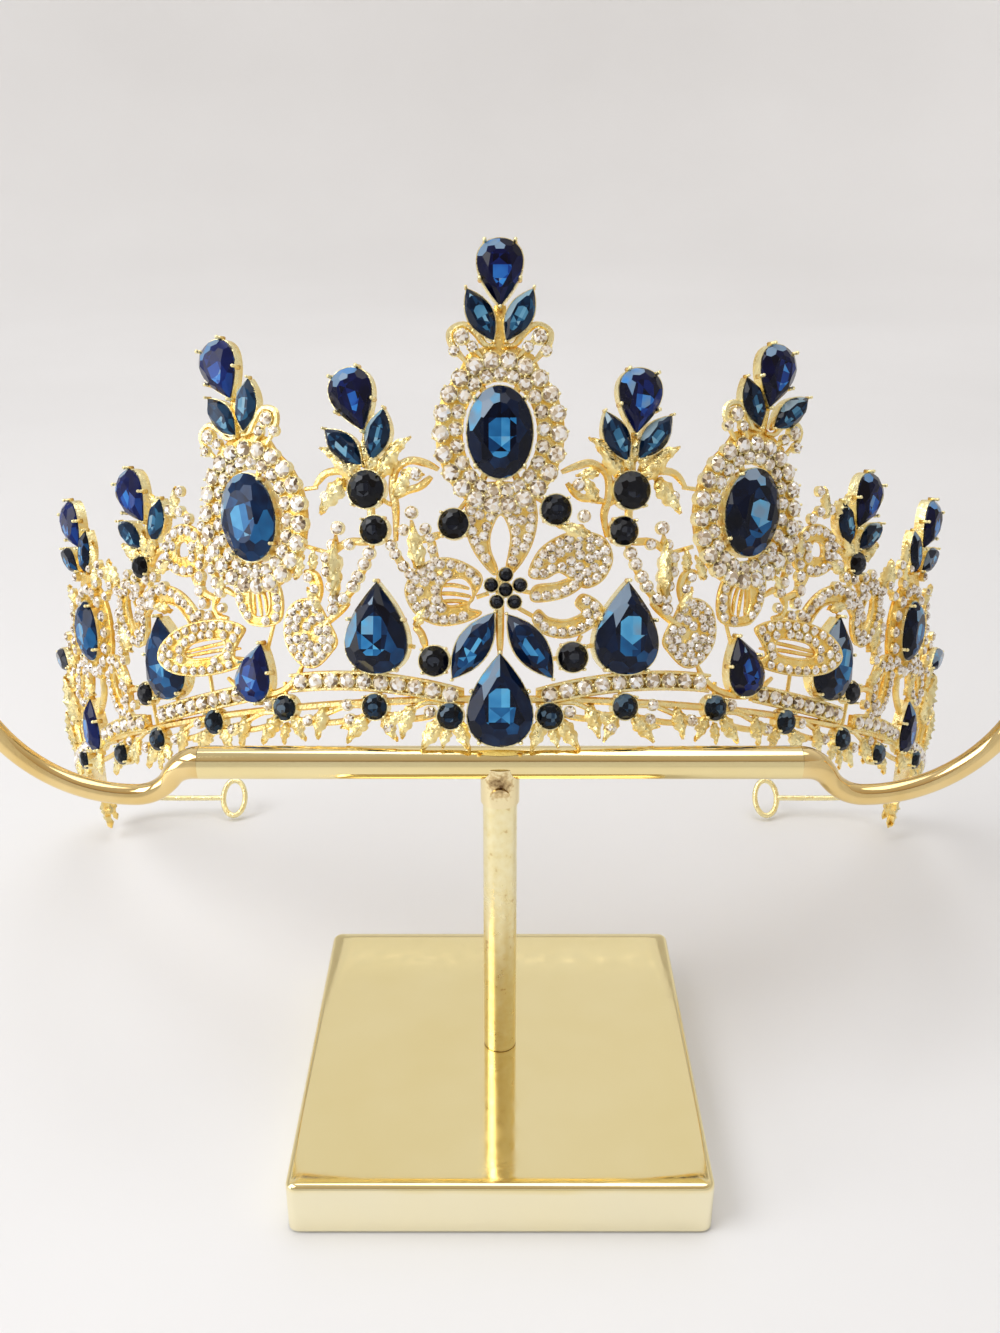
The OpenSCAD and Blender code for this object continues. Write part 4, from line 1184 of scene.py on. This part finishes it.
# The foot: a round wire that goes the whole way round, swags of thinner wire between the black stones, and
# hammered leaves that hang from it.
FOOT_WIRE_T, FOOT_WIRE_R, SWAG_T, UPPER_T, SWAG_DROP = 6.4, 0.6, 4.9, 5.2, 1.3
foot_gold = [wires("foot_wire", [[(s, FOOT_WIRE_T) for s in range(-150, 151, 3)]], FOOT_WIRE_R, -0.5)]
for side in (-1, 1):
    for (a, _), (b, _) in zip(BAND_ROUNDS, BAND_ROUNDS[1:]):
        swag = [(u, SWAG_T - SWAG_DROP * math.sin(math.pi * u)) for u in (0.12, 0.3, 0.5, 0.7, 0.88)]
        upper = [(u, UPPER_T + 0.9 * math.sin(math.tau * u)) for u in (0.1, 0.3, 0.5, 0.7, 0.9)]
        for line, r, n in ((swag, 0.5, -0.5), (upper, 0.42, -0.1)):
            foot_gold.append(wires("swag", [[(side * (a + (b - a) * u), t) for u, t in line]], r, n))
    tail_swag = [(side * s, SWAG_T + 0.5 * math.sin(s * 0.5)) for s in range(102, 151, 2)]
    foot_gold.append(wires("swag", [tail_swag], 0.45, -0.5))
LEAF_HALF_WIDE, LEAF_THICK, RIB_HIGH, HAMMER, CURL_UP = 0.27, 0.14, 0.13, 0.045, 0.1
LEAF_LOW, LEAF_HIGH = -0.16, 0.2


def leaf_model():
    """A hammered leaf one long and half as wide, along x, with a raised midrib and slanting furrows."""
    unselect()
    bpy.ops.mesh.primitive_grid_add(x_subdivisions=12, y_subdivisions=6, size=1)
    leaf = bpy.context.object
    dents = random.Random(5)
    for vertex in leaf.data.vertices:
        u, v = vertex.co.x + 0.5, vertex.co.y * 2
        half = LEAF_HALF_WIDE * math.sin(math.pi * u ** 0.75) ** 0.8 if 0 < u < 1 else 0.0
        furrow = math.sin((u * 9 - abs(v) * 2.2) * math.pi) * 0.05 * (1 - u)
        dent = dents.uniform(-HAMMER, HAMMER) if abs(v) < 0.9 and 0.05 < u < 0.95 else 0.0
        rib = RIB_HIGH * (1 - abs(v)) * math.sin(math.pi * min(1, u + 0.1))
        vertex.co = (u, v * half * (1 + 0.16 * math.sin(u * 22)), dent + rib + furrow + CURL_UP * u * u)
    bpy.ops.object.modifier_add(type="SOLIDIFY")
    leaf.modifiers[0].thickness = LEAF_THICK
    leaf.modifiers[0].offset = -1
    bpy.ops.object.modifier_apply(modifier=leaf.modifiers[0].name)
    bpy.ops.object.mode_set(mode="EDIT")
    close_shell(0.001)
    bpy.ops.object.mode_set(mode="OBJECT")
    bpy.ops.object.shade_smooth_by_angle(angle=math.radians(35))
    leaf.name = "leaf"
    mark_lift(leaf.data, LEAF_LOW, LEAF_HIGH)
    return leaf


leaf = leaf_model()


def leaf_seat(s, t, turn, length, n=0.1, wide=1.0):
    return seat(s, t, turn, n, (length, length * wide, length))


def aside(side, turn):
    return turn if side > 0 else 180 - turn


FOOT_LEAVES = [
    (6.6, 3.6, -110, 5.2), (8.8, 3.6, -55, 5.6), (13.4, 5.8, -70, 5.2), (18, 4.6, -115, 4.6),
    (20.4, 4.6, -48, 5.4), (27.6, 6.2, -72, 5), (33.4, 5.4, -115, 4.6), (35.8, 5.4, -48, 5.4),
    (42.4, 6, -72, 5), (48.2, 4.8, -115, 4.6), (50.6, 4.8, -48, 5.4), (57.4, 5.8, -72, 5),
    (63.8, 3.8, -115, 4.2), (66.2, 3.8, -48, 5), (72.4, 5.6, -72, 4.6), (80, 4, -48, 5),
    (90.6, 5.6, -72, 4.6), (102.4, 4.4, -48, 5), (112, 6.2, -72, 4.6), (124, 6.2, -72, 4.6),
    (136, 6.2, -72, 4.6), (149, 6.2, -28, 7.6), (151, 5, -78, 8.6), (154, 4.6, -52, 7),
]
FOOT_STONES = [
    (10.6, 4.6), (17.1, 2.4), (23.7, 6.2), (23.4, 3.9), (37.6, 7.2), (30.6, 4.2), (45.6, 4.0), (53.4, 5.8),
    (60.2, 3.8), (69.6, 3.4), (75, 5.2),
]
leaf_seats, leaflets, foot_stones = [], [], []
for side in (-1, 1):
    for s, t, turn, length in FOOT_LEAVES:
        leaf_seats.append(leaf_seat(side * s, t, aside(side, turn), length, 0.1, 0.9))
    for s, t, turn, _ in FOOT_LEAVES[:18:2]:
        leaflets.append(leaf_seat(side * (s + 1.2), t - 1.2, aside(side, turn + 38), 3.4))
    foot_stones += [(side * s, t, 1.8, 0.1) for s, t in FOOT_STONES]
foot_gold.append(copies(leaf, leaf_seats + leaflets))
foot_gold += clear_stones("foot_stones", foot_stones)
join("foot_work", foot_gold, casting, "gold_casting")

# Petals: flat castings with a raised gold edge, paved with clear stones. Some are hoops with combed fingers
# inside, and those of the side flowers stand out from the wall over the stones behind them.
PETAL_BACK, PETAL_FRONT, GRAIN_D = -1.1, -0.25, 1.55
ROW_DEPTHS, FILLS_PER_AREA = (0.5, 1.38, 2.26), 12


def inside(point, outline):
    x, y = point
    within = False
    for (ax, ay), (bx, by) in zip(outline, [*outline[1:], outline[0]]):
        if (ay > y) != (by > y) and x < (bx - ax) * (y - ay) / (by - ay) + ax:
            within = not within
    return within


def clear_of(point, outline):
    p = Vector(point)
    nearest = 99.0
    for a, b in zip(outline, [*outline[1:], outline[0]]):
        a, b = Vector(a), Vector(b)
        u = max(0.0, min(1.0, (p - a).dot(b - a) / max(1e-9, (b - a).length_squared)))
        nearest = min(nearest, (p - a - (b - a) * u).length)
    return nearest


def round_off(points):
    """A smooth closed outline through the places given."""
    count = len(points)
    ends = [Vector(p) for p in points]
    return [
        between(*(ends[(i + k) % count] for k in (-1, 0, 1, 2)), u / 4).to_tuple()
        for i in range(count)
        for u in range(4)
    ]


petal_gold, petal_stones = [], []
grain = random.Random(11)


def pave(outline, opening, d, raised):
    """Sets stones in a row along the outline and the opening, and fills what is left between with more."""
    taken = []
    wide = spread_at(*outline[0])
    edges = [[(s * wide, t) for s, t in edge] for edge in (outline, opening) if edge]

    def free(at, gap):
        return all((at[0] - x) ** 2 + (at[1] - y) ** 2 > (gap * d) ** 2 for x, y in taken)

    def fits(at, margin):
        within = inside(at, edges[0]) and clear_of(at, edges[0]) > margin * d
        return within and (
            len(edges) < 2 or (not inside(at, edges[1]) and clear_of(at, edges[1]) > margin * d)
        )

    for depth in ROW_DEPTHS:
        for edge in edges:
            for a, b in zip(edge, [*edge[1:], edge[0]]):
                along = (Vector(b) - Vector(a)).normalized()
                for k in range(5):
                    on = Vector(a) + (Vector(b) - Vector(a)) * k / 5
                    for across in (Vector((-along.y, along.x)), Vector((along.y, -along.x))):
                        at = on + across * d * depth
                        if fits(at, min(0.45, depth - 0.05)) and free(at, 0.96 if depth == 0.5 else 0.9):
                            taken.append(tuple(at))
    (left, right), (low, high) = [(min(p[i] for p in edges[0]), max(p[i] for p in edges[0])) for i in (0, 1)]
    for _ in range(int((right - left) * (high - low) * FILLS_PER_AREA)):
        at = (grain.uniform(left, right), grain.uniform(low, high))
        if fits(at, 0.42) and free(at, 0.88):
            taken.append(at)
    for x, y in taken:
        at = (x / wide, y)
        petal_stones.append((*at, d * grain.uniform(0.94, 1.04), -0.1 + raised(*at)))


def petal(points, hole=(), d=GRAIN_D, raised=flush, combs=()):
    """One petal of the frame: plate, raised edges, stones, and the combed fingers in its opening."""
    outlines = [round_off(line) for line in (points, hole) if line]
    petal_gold.append(plates("petal", outlines, PETAL_BACK, PETAL_FRONT, raised))
    for outline, r in zip(outlines, (0.22, 0.2)):
        petal_gold.append(wires("edge", [outline], r, -0.2, closed=True, raised=raised))
    pave(outlines[0], outlines[1] if hole else [], d, raised)
    for comb in combs:
        petal_gold.append(wires("comb", [comb], 0.34, -0.5, raised=raised))


def sided(side, points):
    return [(side * s, t) for s, t in points]


def rising(s_from, s_to, height):
    """How far a petal stands out: nothing at s_from, height at s_to."""
    return lambda s, t: height * max(0.0, min(1.0, (abs(s) - s_from) / (s_to - s_from))) ** 1.3


# Split petal under the middle halo
petal(
    [
        (0, 39.4), (-3.4, 38.6), (-4.7, 35), (-4.4, 31.4), (-3.2, 28.4), (-1, 25.6), (-0.5, 26.4),
        (-1.4, 29), (-1.5, 31.4), (-0.7, 33.8), (0.1, 34.6), (0.9, 33.8), (1.6, 31.4), (1.4, 29), (1, 26.4),
        (1.8, 25.8), (3.6, 28.4), (4.7, 31.4), (5, 35), (3.8, 38.6),
    ]
)
# Hoop on the left, fan and crescent on the right
petal(
    [
        (-2.6, 24.6), (-4.6, 26.9), (-8, 28), (-11.4, 26.8), (-13.6, 23.6), (-12.4, 20), (-9.2, 18),
        (-5.6, 18.2), (-2.8, 19.6), (-4.6, 20.6),
    ],
    [(-4, 23.6), (-5.4, 25), (-7.6, 24.6), (-8.6, 22.6), (-7.6, 20.8), (-5.6, 20.9), (-4, 21.6)],
    combs=[
        [(-9, 23.9), (-6.6, 23.9), (-4.4, 23.3)], [(-9.2, 22.7), (-6.6, 22.6), (-4.2, 22.1)],
        [(-8.8, 21.4), (-6.6, 21.5), (-4.6, 21.2)],
    ],
)
petal(
    [
        (4.2, 25.4), (5.4, 28.8), (7.8, 31), (11, 32.2), (14.6, 31.4), (16, 28.4), (14.8, 25.2),
        (12.4, 23.8), (10.4, 24.9), (8.4, 26), (6.4, 25),
    ],
    combs=[[(4.6, 25.6), (7.2, 27.4), (9.2, 29)], [(5, 25.2), (8.2, 26.6), (10.6, 27.8)]],
)
petal([(4.6, 21.6), (7, 21.6), (9.6, 22.4), (11.6, 24), (10.4, 25), (8, 24.2), (5, 23.6)])
petal(
    [
        (4.8, 18.6), (6.4, 16.6), (9.4, 16), (12.4, 17), (15.2, 19.6), (14.2, 21.6), (12, 22.6), (11, 21.2),
        (12, 19.8), (9.6, 18.6), (7, 18.9), (5.6, 20),
    ]
)
# On each side a flower of a small dense petal, a hoop over the pear and a broad petal that stands out, then
# two petals round the third pear
SIDE_PETALS = [
    {
        "points": [
            (26.4, 20.4), (27.6, 22.6), (30, 23.2), (32.4, 21.8), (33.4, 18.4), (32.8, 15.4), (30.8, 13),
            (28.4, 12.6), (26, 14.4), (24.8, 16.4),
        ]
    },
    {
        "points": [
            (34, 20.6), (33.4, 24), (34.4, 27.6), (37, 30), (40, 30), (41.6, 27.4), (41.4, 23.6), (40, 21),
            (38.6, 20.2), (36, 19.8),
        ],
        "hole": [(35.8, 22), (35.5, 25), (36.8, 27), (38.6, 26.8), (39.3, 24), (38.8, 21.8), (37.2, 21.2)],
        "combs": [
            [(36.4, 21.6), (36.4, 24), (37, 26.6)], [(37.4, 21.4), (37.5, 24), (37.8, 26.6)],
            [(38.6, 21.8), (38.6, 24), (38.3, 26.6)],
        ],
    },
    {
        "points": [
            (41, 20), (44, 21.6), (48, 22), (52, 21.4), (55, 19.4), (55.8, 17), (54, 14.8), (50.4, 13.6),
            (46, 13.4), (42, 14.2), (43.4, 15.8), (42.4, 17.8),
        ],
        "hole": [(44.6, 18.6), (47.4, 19), (50.4, 18.6), (51.6, 17.2), (50, 16.2), (47, 16), (44.8, 16.6)],
        "raised": rising(40, 56, 4.5),
        "combs": [[(42, 18.2), (46, 18), (51.4, 17.6)], [(42, 16.8), (46, 17), (51.4, 16.9)]],
    },
    {
        "points": [
            (47.6, 31), (46.8, 34), (48.4, 37.6), (52, 38.8), (55.6, 37.4), (56.4, 34), (54.4, 31.4),
            (51, 30.2),
        ],
        "hole": [(50.4, 33.4), (50.6, 35.8), (52.8, 35.8), (53.2, 33.8)], "d": 1.7,
    },
    {
        "points": [
            (49.8, 20), (50.8, 24.4), (54.4, 28.4), (59, 30), (63.6, 29.4), (67.2, 25.6), (65.6, 23.8),
            (62.4, 26.4), (58.6, 27), (54.6, 25.4), (51.8, 21.4),
        ],
        "d": 1.7,
    },
]
# Oval rings: beside the third pear, under the fourth oval, and behind it
RING_PETALS = [
    (67.6, 27, (4.2, 6.2), (1.5, 3.2), -12),
    (76.8, 15.4, (3.8, 6), (1.1, 2.8), -14),
    (94, 19, (5.6, 3.9), (2.6, 1.2), -30),
]


def side_petal(side, points, hole=(), combs=(), **rest):
    petal(sided(side, points), sided(side, hole), combs=[sided(side, comb) for comb in combs], **rest)


for side in (-1, 1):
    for row in SIDE_PETALS:
        side_petal(side, **row)
    for s, t, outer, inner, turn in RING_PETALS:
        petal(*(ring_of(side * s, t, *halves, side * turn, 8) for halves in (outer, inner)), d=1.6)

# Scrolls: the arches, stems and lines of stones that tie the motifs together. They are wires of the same
# casting, with small hammered leaves where they fork.
CHAIN_WIRE_R, LINE_R = 0.65, 0.62
chain_stones = []


def chain(points, count, d=1.7):
    """A wire with a line of clear stones on it."""
    line = smoothed(points, 8)
    for i in range(count):
        at = line[round(i * (len(line) - 1) / (count - 1))]
        chain_stones.append((at[0], at[1], d, 0.1))
    petal_gold.append(wires("chain", [points], CHAIN_WIRE_R, -0.5))


FRONT_SINGLES = [
    (-12.3, 35.2, 1.9), (-13.5, 32.6, 1.7), (-10.4, 32.6, 1.7), (11.7, 34.6, 1.9), (-11.5, 41, 1.9),
    (10.8, 39.3, 1.9), (0, 40.2, 1.5),
]
chain_stones += [(s, t, d, 0.2) for s, t, d in FRONT_SINGLES]
lines = [
    [(0, 26), (0, 22), (0, 13)], [(-4.6, 36.8), (-5.6, 35.4)], [(5, 37.2), (6.6, 36.2)],
    [(-8.2, 31.8), (-10, 31.2), (-11.6, 31)], [(-9, 12.6), (-6, 12.2)], [(9.4, 13), (6.6, 12.4)],
    [(-11, 14.4), (-11.6, 16.6), (-12.6, 17.8)], [(11.4, 15), (12, 16.4)], [(3, 23), (5, 22.6)],
    [(-1.6, 22.6), (-3.4, 22)], [(2.2, 20.6), (5, 19)],
    [(-8.4, 41.6), (-10, 42.6), (-12.4, 43.2), (-14.4, 41.8), (-14.9, 39), (-14.6, 35.6), (-14.8, 31)],
    [(8.4, 41.2), (10.4, 42.2), (12.6, 42.8), (14.8, 41.2), (15.2, 38), (14.6, 35), (15.2, 31.6)],
    [(-9.4, 40.6), (-11, 39.2), (-13, 38.6), (-14.8, 37.6)],
    [(9.2, 39.6), (11, 37.6), (12.8, 37.4), (14.6, 37)],
]
FRONT_LEAVES = [
    (-11.4, 26.4, 97, 7.2, 0.7), (12.8, 31.6, 165, 5.4, 0.8), (-14.6, 37.6, 55, 4.6, 0.9),
    (13.4, 36.8, 120, 4.4, 0.9), (-12.4, 17.6, 60, 3.4, 0.9), (0, 36.6, 90, 4, 0.7),
]
chain([(-15.4, 30.4), (-14.4, 28), (-12.8, 25.8)], 4)
chain([(-9.8, 31.2), (-9.5, 29.4), (-9.2, 27.6)], 3, 1.5)
scroll_leaves = [leaf_seat(s, t, turn, length, 0.2, wide) for s, t, turn, length, wide in FRONT_LEAVES]
SIDE_LINES = [
    [(18.4, 30), (18.2, 36), (18.4, 49.6)], [(16.4, 37.4), (15.2, 36.6)],
    [(19.4, 41), (22, 42.4), (24.6, 42.4), (26.4, 40.6)], [(18.6, 31), (22, 31.4), (25.4, 29.4)],
    [(29.2, 27.6), (27.4, 26.8), (26.9, 24.4), (27.9, 21.6)], [(26, 40.4), (28, 40.4)],
    [(18.4, 12), (18.4, 7)], [(12.6, 14.6), (14.6, 15.2)], [(22.4, 22), (25.4, 19.8), (28.2, 18.4)],
    [(25.4, 30.2), (28.4, 31.4)], [(31, 12.8), (32.6, 10.6), (36, 9), (41.6, 9.2), (45.6, 12.4)],
    [(35.4, 19.8), (37, 16)], [(34.4, 10.6), (34.4, 6)], [(41.6, 15), (43.6, 15.4)],
    [(42, 25.4), (44, 26.6), (46.2, 25), (45.8, 22.6), (44, 22)], [(46, 35.4), (47.8, 34.8)],
    [(45.4, 25.2), (48.4, 27), (50.6, 30.4)], [(61.4, 29.6), (61, 35.6), (59.4, 42)],
    [(58.2, 37.4), (61, 35.6), (63.2, 37.4)], [(58.6, 12), (58.6, 7)], [(61.6, 13.2), (66, 12.6)],
    [(66, 11.6), (65.4, 5)], [(67.8, 13), (71, 14), (74, 13.6)], [(49.6, 13.4), (49.4, 7)],
    [(56, 36), (58.6, 35.4), (60.6, 33.6)], [(69, 31.6), (72.4, 33), (77, 31)],
    [(83.6, 18.6), (84.4, 15), (88.6, 11.6)], [(90, 6.4), (90, 4.4)], [(78.4, 10.6), (78.5, 4)],
    [(90.6, 21.6), (90, 24.4)], [(97.6, 17), (100.6, 18.6), (104, 24)],
    [(64.4, 12.4), (62.8, 16), (64, 20)],
]
SIDE_SCROLL_LEAVES = [
    (17.2, 40.8, 135, 6.2, 0.9), (19.2, 40.8, 42, 6.4, 0.9), (18, 41.6, 108, 4.6, 0.9),
    (19.6, 41.8, 74, 4.4, 0.9), (21.6, 41.2, -48, 6.4, 0.9), (24.4, 22.6, 96, 9.5, 0.45),
    (26.9, 21, 65, 4.2, 0.8), (60.6, 35, 140, 5.6, 0.9), (62.4, 35.2, 40, 5.6, 0.9),
    (61, 35.6, 100, 4.2, 0.9), (27.6, 27.4, 100, 3.6, 0.9), (45.4, 25.8, 130, 3.8, 0.9),
    (70.4, 32.4, 70, 5, 0.8), (73.6, 32.6, 110, 5, 0.8), (88.8, 33, 60, 5, 0.9), (79.4, 33.6, 125, 5, 0.9),
    (15.6, 44.2, 150, 4.6, 0.8), (21, 44, 28, 4.8, 0.8), (18.4, 43.4, 88, 3.6, 0.9),
    (13.6, 41.4, 190, 3.6, 0.9), (54.6, 40.4, 62, 5.4, 0.8), (52.6, 40.2, 110, 5, 0.8),
    (58.4, 32.4, 170, 4.4, 0.9), (43.2, 29, 75, 4.6, 0.8), (47.8, 32.2, 100, 4, 0.9),
    (30.6, 26.4, 120, 4, 0.8), (56.4, 25.4, 20, 4.4, 0.8), (77.4, 37.4, 100, 4.6, 0.8),
    (96.6, 22.4, 60, 5.4, 0.8), (100.4, 19, 75, 5.4, 0.8), (70, 20.4, 80, 5.4, 0.8),
    (71.4, 14.6, 50, 4.6, 0.8), (88.6, 15.6, 70, 4.6, 0.8),
]
SIDE_CHAINS = [
    ([(18.7, 29.4), (20.2, 26.6), (22, 23.8), (24.8, 21.2)], 6, 1.9),
    ([(24.2, 31.2), (25.6, 28.6), (25, 25.6), (24.6, 22.8)], 5),
    ([(28.4, 26.6), (27.6, 24.6), (27.9, 22.6)], 3, 1.6),
    ([(48.4, 29.6), (48.9, 27.4), (48.4, 25.2)], 3, 1.9),
    ([(70.4, 29.4), (72.6, 26.4), (73, 22.6), (72.4, 19.4)], 6),
    ([(91.4, 33.4), (93.6, 29.6), (94.2, 25.4)], 5),
    ([(46.6, 37.6), (45.8, 33.4), (45.6, 29.4), (44.6, 26.4)], 6, 1.8),
    ([(57.6, 39.4), (55, 41.6), (51.6, 41.4), (49.4, 39.4)], 5, 1.8),
    ([(59.4, 31.6), (63, 31.4), (66, 29.6)], 4, 1.8),
    ([(76.4, 37.6), (74.6, 34.4), (71, 31.6)], 4, 1.8),
    ([(99.6, 29.4), (97.4, 26), (97.8, 22.4)], 4),
]
SIDE_SINGLES = [
    (50.2, 44.2, 1.7), (57.4, 29.4, 2), (60.8, 27.2, 1.9), (41.8, 31.8, 1.9), (43.6, 34.6, 1.7),
    (53.6, 26.6, 1.9), (47.4, 22.8, 1.9), (49.6, 23.4, 1.7), (71.2, 11.2, 1.7), (73.4, 9.4, 1.7),
    (24.6, 38.7, 1.7), (23.2, 33.7, 2), (21.6, 31, 1.7), (44.6, 23.8, 1.6), (57, 33.2, 1.8),
    (64.6, 32.6, 1.7), (66.8, 33.6, 1.7), (75.4, 31.6, 1.7), (78, 34.6, 1.7), (89.8, 35.6, 1.7),
]
for side in (-1, 1):
    lines += [sided(side, line) for line in SIDE_LINES]
    for s, t, turn, length, wide in SIDE_SCROLL_LEAVES:
        scroll_leaves.append(leaf_seat(side * s, t, aside(side, turn), length, 0.2, wide))
    for points, *told in SIDE_CHAINS:
        chain(sided(side, points), *told)
    chain_stones += [(side * s, t, d, 0.2) for s, t, d in SIDE_SINGLES]
petal_gold.append(wires("lines", lines, LINE_R, -0.45))
petal_gold.append(copies(leaf, scroll_leaves))

# The fourth oval on each side: it has one ring of clear stones and a short gable, cast with the frame like
# the halos of the large ovals.
SIDE_OVAL_S, SIDE_OVAL_T, SIDE_RING, SIDE_RING_COUNT = 83.6, 27, (6.1, 7.7, 2.1), 16
SHORT_GABLE = ((-4, 8.2), (4, 8.2), (0.9, 12.6), (0.9, 16.6), (-0.9, 16.6), (-0.9, 12.6))
GABLE_STONES = ((-3.6, 11), (3.6, 11), (-1.9, 12.8), (1.9, 12.8))
for side in (-1, 1):
    s, t = side * SIDE_OVAL_S, SIDE_OVAL_T
    petal_gold.append(halo_plate(s, t, (7.5, 9.2), (4.7, 6.3)))
    petal_gold.append(gable(s, t, SHORT_GABLE))
    a_half, b_half, d = SIDE_RING
    for i in range(SIDE_RING_COUNT):
        a = math.tau * (i + 0.5) / SIDE_RING_COUNT
        chain_stones.append((*spot(s, t, a_half * math.sin(a), b_half * math.cos(a)), d, 0.1))
    chain_stones += [(*spot(s, t, x, y), 1.7, 0.1) for x, y in GABLE_STONES]
    petal_gold += bridges(s, t, (62, 242), (3.8, 5), (5.6, 7))

# Behind the ears the openwork turns plain: low arched curls, each with three leaves, which fall towards the
# end of the band.
TAIL_CURLS = [(104, 16, 6.2, 9), (117, 13.4, 6, 6.6), (129.4, 12, 5.6, 5.2), (141, 10.8, 5, 4)]
INNER_WIDE, INNER_HIGH, STEM_T = 0.55, 0.6, 6.6


def bow(side, s, t, half, high, ways):
    """Places on an arch of that half width and height, at the ways given in degrees."""
    return [(side * (s + half * math.cos(a)), t + high * math.sin(a)) for a in map(math.radians, ways)]


tail_leaves = []
for side in (-1, 1):
    for s, t, half, high in TAIL_CURLS:
        outer = bow(side, s, t - 1.4, half, high, range(215, -36, -25))
        inner = bow(side, s, t - 1.6, INNER_WIDE * half, INNER_HIGH * high, range(205, -26, -23))
        petal_gold += [wires("curl", [outer], 0.6, -0.5), wires("curl", [inner], 0.42, -0.4)]
        petal_gold.append(wires("stem", [[(side * s, STEM_T), (side * s, t - 2)]], 0.6, -0.5))
        tail_leaves.append(leaf_seat(side * s, t - 3.4, 90 - side * 10, high + 1.2, 0.2, 0.8))
        for lean in (-42, 55):
            tail_leaves.append(leaf_seat(side * s, t - 3, 90 - side * lean, high * 0.8, 0.1, 0.8))
        for at in bow(side, s, t - 1.4, half, high, (160, 125, 90, 55, 20)):
            chain_stones.append((*at, 1.6, 0.1))
petal_gold.append(copies(leaf, tail_leaves))
petal_gold += clear_stones("paved_stones", petal_stones)
petal_gold += clear_stones("scroll_stones", chain_stones)
join("petals_and_scrolls", petal_gold, casting, "gold_casting")

# End wires: round wires from the end of the band in behind the head, each bent into an upright loop for a
# ribbon. They are cast with the frame and bent by hand.
LOOP_S, LOOP_BACK, LOOP_UP = 63.6, 113.0, 4.0
LOOP_HALF_W, LOOP_HALF_H, END_WIRE_R, END_LIFT = 2.6, 4.2, 0.65, 0.85
TURN_S, TURN_BACK = 82, 112.4


def tilted(x, back, up):
    turned = Matrix.Rotation(-TILT, 3, "X") @ Vector((x, back, up))
    return (turned + Vector((0, FOOT_Y, PLATE_TOP + FOOT_RISE))) * MM


end_gold = []
for side in (-1, 1):
    tail = [place(side * (BAND_HALF + past), t, -0.6) for past, t in ((-3, 6.2), (4, 4.6))]
    tail.append(tilted(side * TURN_S, TURN_BACK, LOOP_UP))
    tail.append(tilted(side * (LOOP_S + LOOP_HALF_W), LOOP_BACK, LOOP_UP))
    eye = []
    for i in range(24):
        a = math.tau * i / 24
        x, up = side * LOOP_S + LOOP_HALF_W * math.cos(a), LOOP_UP + LOOP_HALF_H * math.sin(a)
        eye.append(tilted(x, LOOP_BACK, up))
    made = rod("end_wire", [(smoothed(tail, 6), False), (eye, True)], END_WIRE_R * MM, 8)
    for lift in made.data.attributes.new("lift", "FLOAT", "POINT").data:
        lift.value = END_LIFT
    end_gold.append(made)
join("end_wires", end_gold, casting, "gold_casting")

for model in (claw, leaf, small_stone, small_cup, small_claw, *[row[0] for row in CUTS.values()]):
    bpy.data.objects.remove(model)

low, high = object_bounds()
